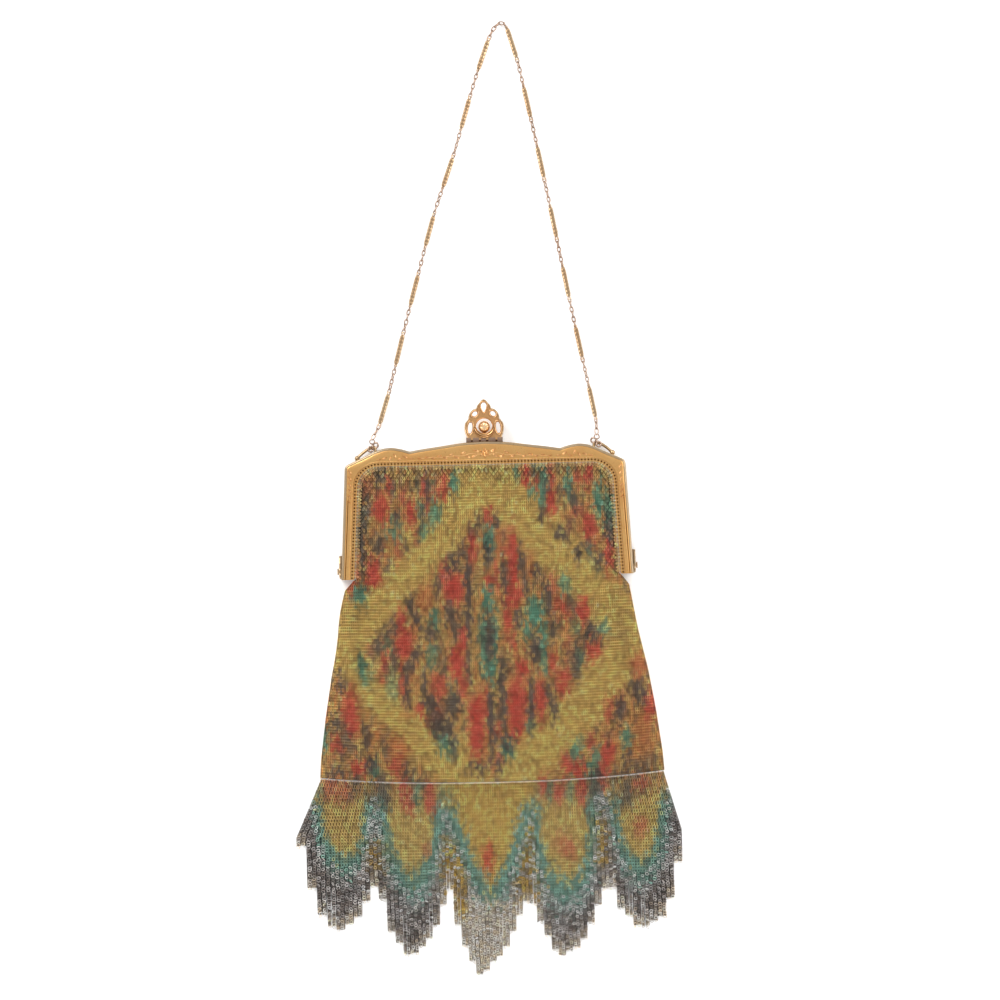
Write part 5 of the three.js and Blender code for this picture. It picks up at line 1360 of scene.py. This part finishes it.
chain = {
    "route": [(-41.6, 16.5), (-37.8, 28.5), (-31.6, 51.6), (-25.0, 75.4), (-18.1, 99.3), (-9.9, 122.3),
              (-2.6, 146.1), (4.2, 166.0), (8.6, 174.3), (12.6, 173.6), (16.2, 162.0), (19.1, 148.8),
              (23.8, 125.5), (28.4, 101.4), (33.0, 76.4), (38.0, 49.9), (42.6, 27.2), (44.6, 16.5)],
    "height": 1.1,
    "ends": 10.1,  # where the end eyes let go of it
    "ringX": 44.9,
    "barLong": 12.4,
    "barWide": 1.82,
    "barThick": 1.0,
    "barCount": 14,
    "lead": 7,
    "linkPitch": 2.15,
    "eyeHeight": 2.15,  # of the eyes that hang on the rings
    "eye": ((0.95, 0.95), 0.25, 20, 8),  # two radii, wire, sides around and sides of the wire
    "barEye": ((0.42, 0.55), 0.22, 12, 6),
    "endRing": ((1.2, 1.2), 0.32, 28, 10),
    "coil": ((1.0, 1.0), 0.36, 24, 8),
}
upTheChain = np.array((0, 1.0, 0))


def barMesh(start, end):
    # a flat bar with rounded shoulders, a raised rim and a sunk face with small notches, ending in two eyes
    along = unit(end - start)
    across = np.array((along[1], -along[0], 0))
    long = np.linalg.norm(end - start)
    stations = 33
    u = np.linspace(-1, 1, stations)
    ends = np.abs(u) ** 14
    half = chain["barWide"] / 2 * (1 - 0.55 * ends)
    deep = 0.5 * chain["barThick"] * (1 - 0.35 * ends)
    notch = 0.07 * (np.cos(u * 26) > 0.3)
    section = np.array([(-1, -0.6), (-1, 0.5), (-0.86, 1), (-0.62, 1), (-0.5, 0.8), (0, 0.72), (0.5, 0.8), (0.62, 1),
                        (0.86, 1), (1, 0.5), (1, -0.6), (0.8, -1), (0, -0.9), (-0.8, -1)])
    z = section[None, :, 1] * deep[:, None]
    sunk = np.isin(np.arange(len(section)), (4, 5, 6))
    z = z - np.where(sunk[None], notch[:, None], 0)
    middle = (start + end) / 2
    path = middle + (u * long / 2)[:, None] * along
    points = path[:, None] + (section[None, :, :1] * half[:, None, None]) * across
    points = (points + z[..., None] * np.array((0, 0, 1.0))).reshape(-1, 3)
    faces = np.vstack([gridQuads(stations, len(section), closeColumns=True), endCaps(stations, len(section))])
    faces = outward(points - points.mean(axis=0), faces)
    # painted shade on the sunk face, through the hollow mask
    hollow = np.tile(np.where(sunk, 0.35, 0.0), stations)
    return points, faces, hollow


def linkMesh(centre, along, turn, size, wire=0.25, around=16, sides=8):
    # one oval wire link lying along a direction, turned about it
    across = unit(np.cross(along, (0, 0, 1)))
    lift = np.cross(across, along)
    across = np.cos(turn) * across + np.sin(turn) * lift
    rings = (np.array([centre]), across[None], along[None], np.array([size]), np.array([wire]))
    return ringCloud(*rings, around=around, sides=sides)


def chainPieces():
    # bars at an even pitch along the route, and links turned in alternate ways over each gap
    low = np.array((-chain["ringX"], chain["ends"], chain["eyeHeight"]))
    high = np.array((chain["ringX"], chain["ends"], chain["eyeHeight"]))
    route = np.vstack([low, [(x, y, chain["height"]) for x, y in chain["route"]], high])
    line = smoothCurve(route, 1600)
    reach = np.concatenate([[0], np.cumsum(np.linalg.norm(np.diff(line, axis=0), axis=1))])

    def at(distance):
        return np.array([np.interp(distance, reach, line[:, axis]) for axis in range(3)])

    pitch = (reach[-1] - 2 * chain["lead"] - chain["barLong"]) / (chain["barCount"] - 1)
    bars, hollows, links = [], [], []
    free = 0.0
    for index in range(chain["barCount"] + 1):
        start = chain["lead"] + index * pitch if index < chain["barCount"] else reach[-1]
        gap = start - free
        count = max(int(round(gap / chain["linkPitch"])), 2)
        places = free + (np.arange(count) + 0.5) / count * gap
        half = gap / count / 2 + 0.33
        for number, place in enumerate(places):
            along = unit(at(place + 0.4) - at(place - 0.4))
            turn = (0.25 if number % 2 == 0 else np.pi / 2 - 0.25) + 0.25 * random.standard_normal()
            links.append(linkMesh(at(place), along, turn, (0.66, max(half, 0.9))))
        if index < chain["barCount"]:
            points, faces, hollow = barMesh(at(start), at(start + chain["barLong"]))
            bars.append((points, faces))
            hollows.append(hollow)
            for place in (start - 0.35, start + chain["barLong"] + 0.35):
                along = unit(at(place + 0.4) - at(place - 0.4))
                eye = linkMesh(at(place), along, 0.0, *chain["barEye"])
                bars.append(eye)
                hollows.append(np.zeros(len(eye[0])))
            free = start + chain["barLong"]
    for side in (-1, 1):
        middle = np.array((side * chain["ringX"], chain["ends"] - 0.95, chain["eyeHeight"]))
        links.append(linkMesh(middle, upTheChain, 0.0, *chain["eye"]))
    return bars, hollows, links


bars, hollows, links = chainPieces()
points, faces = joinParts(bars)
chainBars = addPiece("chainBars", points, faces, chainGilt, crease=45,
                     attributes={"hollow": np.concatenate(hollows)})
points, faces = joinParts(links)
addPiece("chainLinks", points, faces, linkSilver)
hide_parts("chain")
for side in (-1, 1):
    node = "chain_ring_left" if side < 0 else "chain_ring_right"
    low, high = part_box(node)
    middle = np.array((low + high) / 2) / mm - (0, holeRow, 0)
    points, faces = linkMesh(middle, upTheChain, np.pi / 2, *chain["endRing"])
    ring = addPiece("endRing" + ("Left" if side < 0 else "Right"), points, faces, linkSilver)
    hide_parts(node)
coils = [linkMesh(np.array((side * x, y, 2.4 + 0.5 * number)), upTheChain, 0.3 - 0.6 * number, *chain["coil"])
         for side in (-1, 1) for number, (x, y) in enumerate(lug["coils"])]
points, faces = joinParts(coils)
addPiece("lugRings", points, faces, linkSilver)
print("chain is made:", len(links), "links")


# Clasp: ribs round the openings and a cradle over the crest's plate, and the button's dome

clasp = {
    "foot": 8.5,
    "half": 7.9,
    "high": 16.6,
    "face": 7.0,
    "buttonY": 14.0,
    "buttonZ": 4.7,
    "button": 2.3,
    "opening": 3.3,
    "ribWide": 0.8,
    "edge": [(0.78, 0.02), (0.88, 0.08), (0.975, 0.2), (1, 0.31), (0.955, 0.43), (0.8, 0.515), (0.775, 0.595),
             (0.7, 0.68), (0.54, 0.755), (0.385, 0.775), (0.34, 0.845), (0.2, 0.92), (0.12, 0.97), (0, 1)],
    # shares out, up, half width and half height, and the turn in degrees, of each opening
    "openings": [(0.71, 0.31, 0.115, 0.145, 6), (0.46, 0.645, 0.15, 0.052, -40), (0, 0.8, 0.15, 0.12, 0)],
    "cradle": 3.4,
    "cradleWide": 1.1,
    "cradleShift": 0.8,
    "cradleReach": 75,  # degrees each side of straight down
}


def band(outer, inner, profile, closed=False):
    # a strip between two lines, its closed section given as shares across and heights
    profile = np.asarray(profile, float)
    flat = outer[:, None] + (inner - outer)[:, None] * profile[None, :, :1]
    points = np.dstack([flat, np.broadcast_to(profile[:, 1], flat.shape[:2])]).reshape(-1, 3)
    faces = gridQuads(len(outer), len(profile), closeRows=closed, closeColumns=True)
    if not closed:
        faces = np.vstack([faces, endCaps(len(outer), len(profile))])
    return points, outward(points - points.mean(axis=0), faces)


def oval(centre, wide, tall, turn, count=40):
    a = np.arange(count) / count * 2 * np.pi
    x, y, t = wide * np.cos(a), tall * np.sin(a), math.radians(turn)
    return np.column_stack([x * math.cos(t) - y * math.sin(t), x * math.sin(t) + y * math.cos(t)]) + centre


def drop(centre, wide, tall, count=40):
    # an oval drawn in to a point below
    a = np.arange(count) / count * 2 * np.pi
    x = 1.15 * wide * np.cos(a) * np.sqrt((1 + 0.92 * np.sin(a)) / 1.92)
    return np.column_stack([x, tall * np.sin(a)]) + centre


def claspRibs():
    # a raised rib round each opening, round the button's hole and along the crest's edge, and the bowl below
    face, wide = clasp["face"], clasp["ribWide"]
    rib = [(0, face - 0.1), (0.08, face + 0.22), (0.3, face + 0.42), (0.62, face + 0.4), (0.9, face + 0.16),
           (1, face - 0.2), (0.8, face - 0.3), (0.2, face - 0.3)]
    parts, rims = [], []
    for out, up, halfWide, halfTall, turn in clasp["openings"]:
        for side in ((-1, 1) if out else (1,)):
            centre = (side * out * clasp["half"], clasp["foot"] + up * clasp["high"])
            sizes = halfWide * clasp["half"], halfTall * clasp["high"]
            lines = [oval(centre, sizes[0] + more, sizes[1] + more, side * turn) for more in (wide, 0.0)]
            if not out:
                lines = [drop(centre, sizes[0] + more, sizes[1] + more) for more in (wide, 0.0)]
            parts.append(band(*lines, rib, closed=True))
            rims.append(np.tile((0.9, 0.7, 0.25, 0, 0, 0, 0, 0), 40))
    centre = (0, clasp["buttonY"])
    lines = [oval(centre, clasp["opening"] + more, clasp["opening"] + more, 0, 64) for more in (0.5, 0.0)]
    parts.append(band(*lines, rib, closed=True))
    rims.append(np.tile((0.3, 0.2, 0.1, 0, 0, 0, 0, 0), 64))
    edge = np.array(clasp["edge"]) * (clasp["half"], clasp["high"]) + (0, clasp["foot"])
    edge = smoothCurve(np.vstack([edge, edge[-2::-1] * (-1, 1)]), 150)
    along = unit(np.gradient(edge, axis=0))
    inward = np.column_stack([-along[:, 1], along[:, 0]])
    parts.append(band(edge + 0.02 * inward, edge + 0.62 * inward, rib))
    rims.append(np.tile((1, 1, 0.9, 0.5, 0.2, 0, 0, 0), 150))
    turn = np.radians(-90 + np.linspace(-clasp["cradleReach"], clasp["cradleReach"], 49))
    ring = np.column_stack([np.cos(turn), np.sin(turn)])
    middle = np.array(centre)
    outer = middle + (clasp["cradle"] + clasp["cradleWide"]) * ring
    inner = middle + clasp["cradle"] * ring + (0, clasp["cradleShift"])
    bowl = [(-0.06, face - 0.2), (0, face + 0.8), (0.1, face + 1.25), (0.24, face + 1.35), (0.36, face + 1.0),
            (0.48, face + 1.3), (0.64, face + 1.26), (0.74, face + 0.96), (0.88, face + 1.1), (1.06, face + 0.7),
            (1.0, face - 0.3), (0.15, face - 0.3)]
    parts.append(band(outer, inner, bowl))
    rims.append(np.tile((0.5, 0.3, 0, 0, 0, 0, 0, 0, 0, 0, 0, 0), 49))
    # painted shade in the two dips along the bowl, through the hollow mask
    hollows = np.zeros(sum(len(one) for one in rims))
    hollows[-len(rims[-1]):] = np.tile((0, 0, 0, 0, 0.7, 0, 0, 0.6, 0, 0, 0, 0), 49)
    return joinParts(parts), np.concatenate(rims), hollows


def claspFoot():
    # the strip that the crest stands on, with small notches along its top
    x = np.repeat(np.array([-7.3, -5.4, -4.6, -2.2, -1.4, 0.6, 1.6, 4.4, 5.2, 7.3]), 2)[1:-1]
    gap = (np.arange(len(x)) // 2 % 2 == 1)
    low, high = clasp["foot"] - 1.35, clasp["foot"] + 1.35 - 0.9 * gap
    section = np.array([(0, 4.8), (1, 4.8), (1, 7.4), (0.85, 7.62), (0.15, 7.62), (0, 7.4)])
    y = low + (high - low)[:, None] * section[None, :, 0]
    z = np.broadcast_to(section[:, 1], y.shape)
    points = np.stack([np.broadcast_to(x[:, None], y.shape), y, z], axis=-1).reshape(-1, 3)
    faces = np.vstack([gridQuads(len(x), 6, closeColumns=True), endCaps(len(x), 6)])
    # painted shade in the notches, through the hollow mask
    return points, outward(points - points.mean(axis=0), faces), np.repeat(0.9 * gap, 6)


def buttonDome():
    # a ball whose face has a sunk ring and five low lobes inside it, on its post and foot
    down = np.linspace(0.02, np.pi - 0.02, 40)
    turn = np.arange(60) / 60 * 2 * np.pi
    radius = clasp["button"] * np.sin(down)[:, None]
    groove = 0.12 * np.exp(-(((radius - 1.75) / 0.16) ** 2)) * (down < np.pi / 2)[:, None]
    lobes = 0.12 * np.exp(-(((radius - 1.0) / 0.45) ** 2)) * np.cos(5 * turn)[None] * (down < np.pi / 2)[:, None]
    size = clasp["button"] - groove + lobes - 0.12 * (down < np.pi / 2)[:, None] * np.exp(-((radius / 1.4) ** 2))
    # its face is flattened
    wide = size * 1.04 * np.sin(down)[:, None] ** 0.6
    points = np.stack([wide * np.cos(turn), wide * np.sin(turn), size * np.cos(down)[:, None]], axis=-1)
    faces = gridQuads(40, 60, closeColumns=True)
    # painted shade in the sunk ring, through the hollow mask
    hollow = 3.6 * (groove + 0 * turn[None])
    points = points.reshape(-1, 3)
    faces = outward(points, faces)
    parts = [(points + (0, clasp["buttonY"], clasp["buttonZ"]), faces)]
    masks = [hollow.ravel()]
    rear = purse["halfDepth"] / 2
    for a, b, thick in (((0, clasp["foot"] + 0.35, rear), (0, clasp["buttonY"] - 1.1, clasp["buttonZ"]), 0.85),
                        ((0, clasp["foot"], rear), (0, clasp["foot"] + 0.7, rear), 1.7),
                        ((0, clasp["foot"] - 1.45, rear), (0, clasp["foot"] + 0.2, rear), 0.65)):
        parts.append(sweep(np.linspace(a, b, 4), roundSection(thick, 20)))
        # painted shade on the post and foot under the dome
        masks.append(np.full(len(parts[-1][0]), 0.4))
    return joinParts(parts), np.concatenate(masks)


(points, faces), rims, hollow = claspRibs()
addPiece("claspRibs", points, faces, claspGilt, crease=60, attributes={"rim": rims, "hollow": hollow})
points, faces, hollow = claspFoot()
addPiece("claspFoot", points, faces, footMetal, crease=30, attributes={"hollow": hollow})
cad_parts["clasp_crest"].data.materials[0] = claspDark
(points, faces), hollow = buttonDome()
button = addPiece("claspButton", points, faces, domeGilt, crease=60, attributes={"hollow": hollow})
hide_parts("clasp_button")
print("clasp is made")


# Relief on the frame's face: a flower over the middle, leaves on a stem to both sides, and leaves on the corners

relief = {
    "faceZ": 8.98,
    "high": 0.36,
    # across, up, turn in degrees, length and half width of each leaf, mirrored to the other side
    "leaves": [
        (3.4, 4.5, 25, 2.4, 0.62), (4.3, 2.4, -20, 2.3, 0.58), (6.8, 2.2, 30, 2.3, 0.58), (8.6, 3.7, -25, 2.2, 0.55),
        (11.2, 2.1, 22, 2.3, 0.52), (13.4, 3.1, -30, 2.1, 0.5), (15.8, 2.0, 24, 2.0, 0.48),
        (18.2, 2.7, -20, 1.9, 0.45), (20.6, 1.9, 18, 1.8, 0.42), (23.2, 2.3, -14, 1.7, 0.38),
        (26, 1.9, 10, 1.6, 0.34), (29.4, 2.0, 5, 1.8, 0.42), (31.8, 2.7, 30, 2.2, 0.52),
        (33.9, 1.9, -25, 2.0, 0.5), (35.8, 3.1, 70, 2.2, 0.55), (37.6, 2.1, 120, 2.1, 0.52),
        (39.9, 2.3, 155, 2.0, 0.48), (42.2, 1.8, 170, 1.7, 0.4), (53.9, -2.9, 55, 2.3, 0.5),
        (54.0, -5.4, 50, 2.3, 0.5), (54.1, -7.9, 54, 2.2, 0.46), (54.2, -10.3, 50, 2.0, 0.42),
        (54.3, -12.6, 56, 1.9, 0.38), (54.4, -14.8, 52, 1.6, 0.32),
    ],
    "stem": [(1.6, 3.0), (5.2, 3.5), (8.6, 2.7), (12.4, 2.7), (16.2, 2.3), (20.5, 2.3), (26.5, 1.9)],
    "flower": (0, 3.5),
    "petals": 6,
}


def leaf(across, up, turn, long, wide, high=None):
    # stations along a bent midrib, the section a low arch with a dipped vein
    u = np.linspace(-1, 1, 11)
    swell = np.sqrt(np.clip(1 - u**2, 0.03, 1))
    section = np.array([(-1, -0.1), (-0.6, 0.7), (-0.2, 1), (0, 0.5), (0.2, 1), (0.6, 0.7), (1, -0.1), (0, -0.8)])
    sections = np.stack([section[:, 0] * (wide * swell * (1 - 0.3 * u))[:, None],
                         section[:, 1] * ((high or relief["high"]) * swell)[:, None]], axis=-1)
    a = math.radians(turn)
    path = np.column_stack([across + u * long / 2 * math.cos(a) - 0.18 * u**2 * math.sin(a),
                            up + u * long / 2 * math.sin(a) + 0.18 * u**2 * math.cos(a),
                            np.full(len(u), relief["faceZ"])])
    return sweep(path, sections)


def faceRelief():
    # every leaf and its mirror image, a stem to each side, and the flower's petals round a dome
    parts = []
    for across, up, turn, long, wide in relief["leaves"]:
        parts.append(leaf(across, up, turn, long, wide))
        parts.append(leaf(-across, up, 180 - turn, long, wide))
    for side in (-1, 1):
        stem = smoothCurve(np.array(relief["stem"]) * (side, 1), 60)
        parts.append(sweep(np.column_stack([stem, np.full(60, relief["faceZ"])]), roundSection(0.16, 8)))
    x, y = relief["flower"]
    for petal in range(relief["petals"]):
        turn = 90 + 360 / relief["petals"] * petal
        a = math.radians(turn)
        parts.append(leaf(x + 1.25 * math.cos(a), y + 1.25 * math.sin(a), turn, 1.7, 0.6, 0.42))
    dome = np.array([(0.02, 0.5), (0.3, 0.42), (0.5, 0.2), (0.55, -0.1), (0.02, -0.1)])
    parts.append(turned(dome, (x, y, relief["faceZ"]), 16))
    return joinParts(parts)


points, faces = faceRelief()
addPiece("frameRelief", points, faces, reliefGilt, crease=70)
print("relief is made")
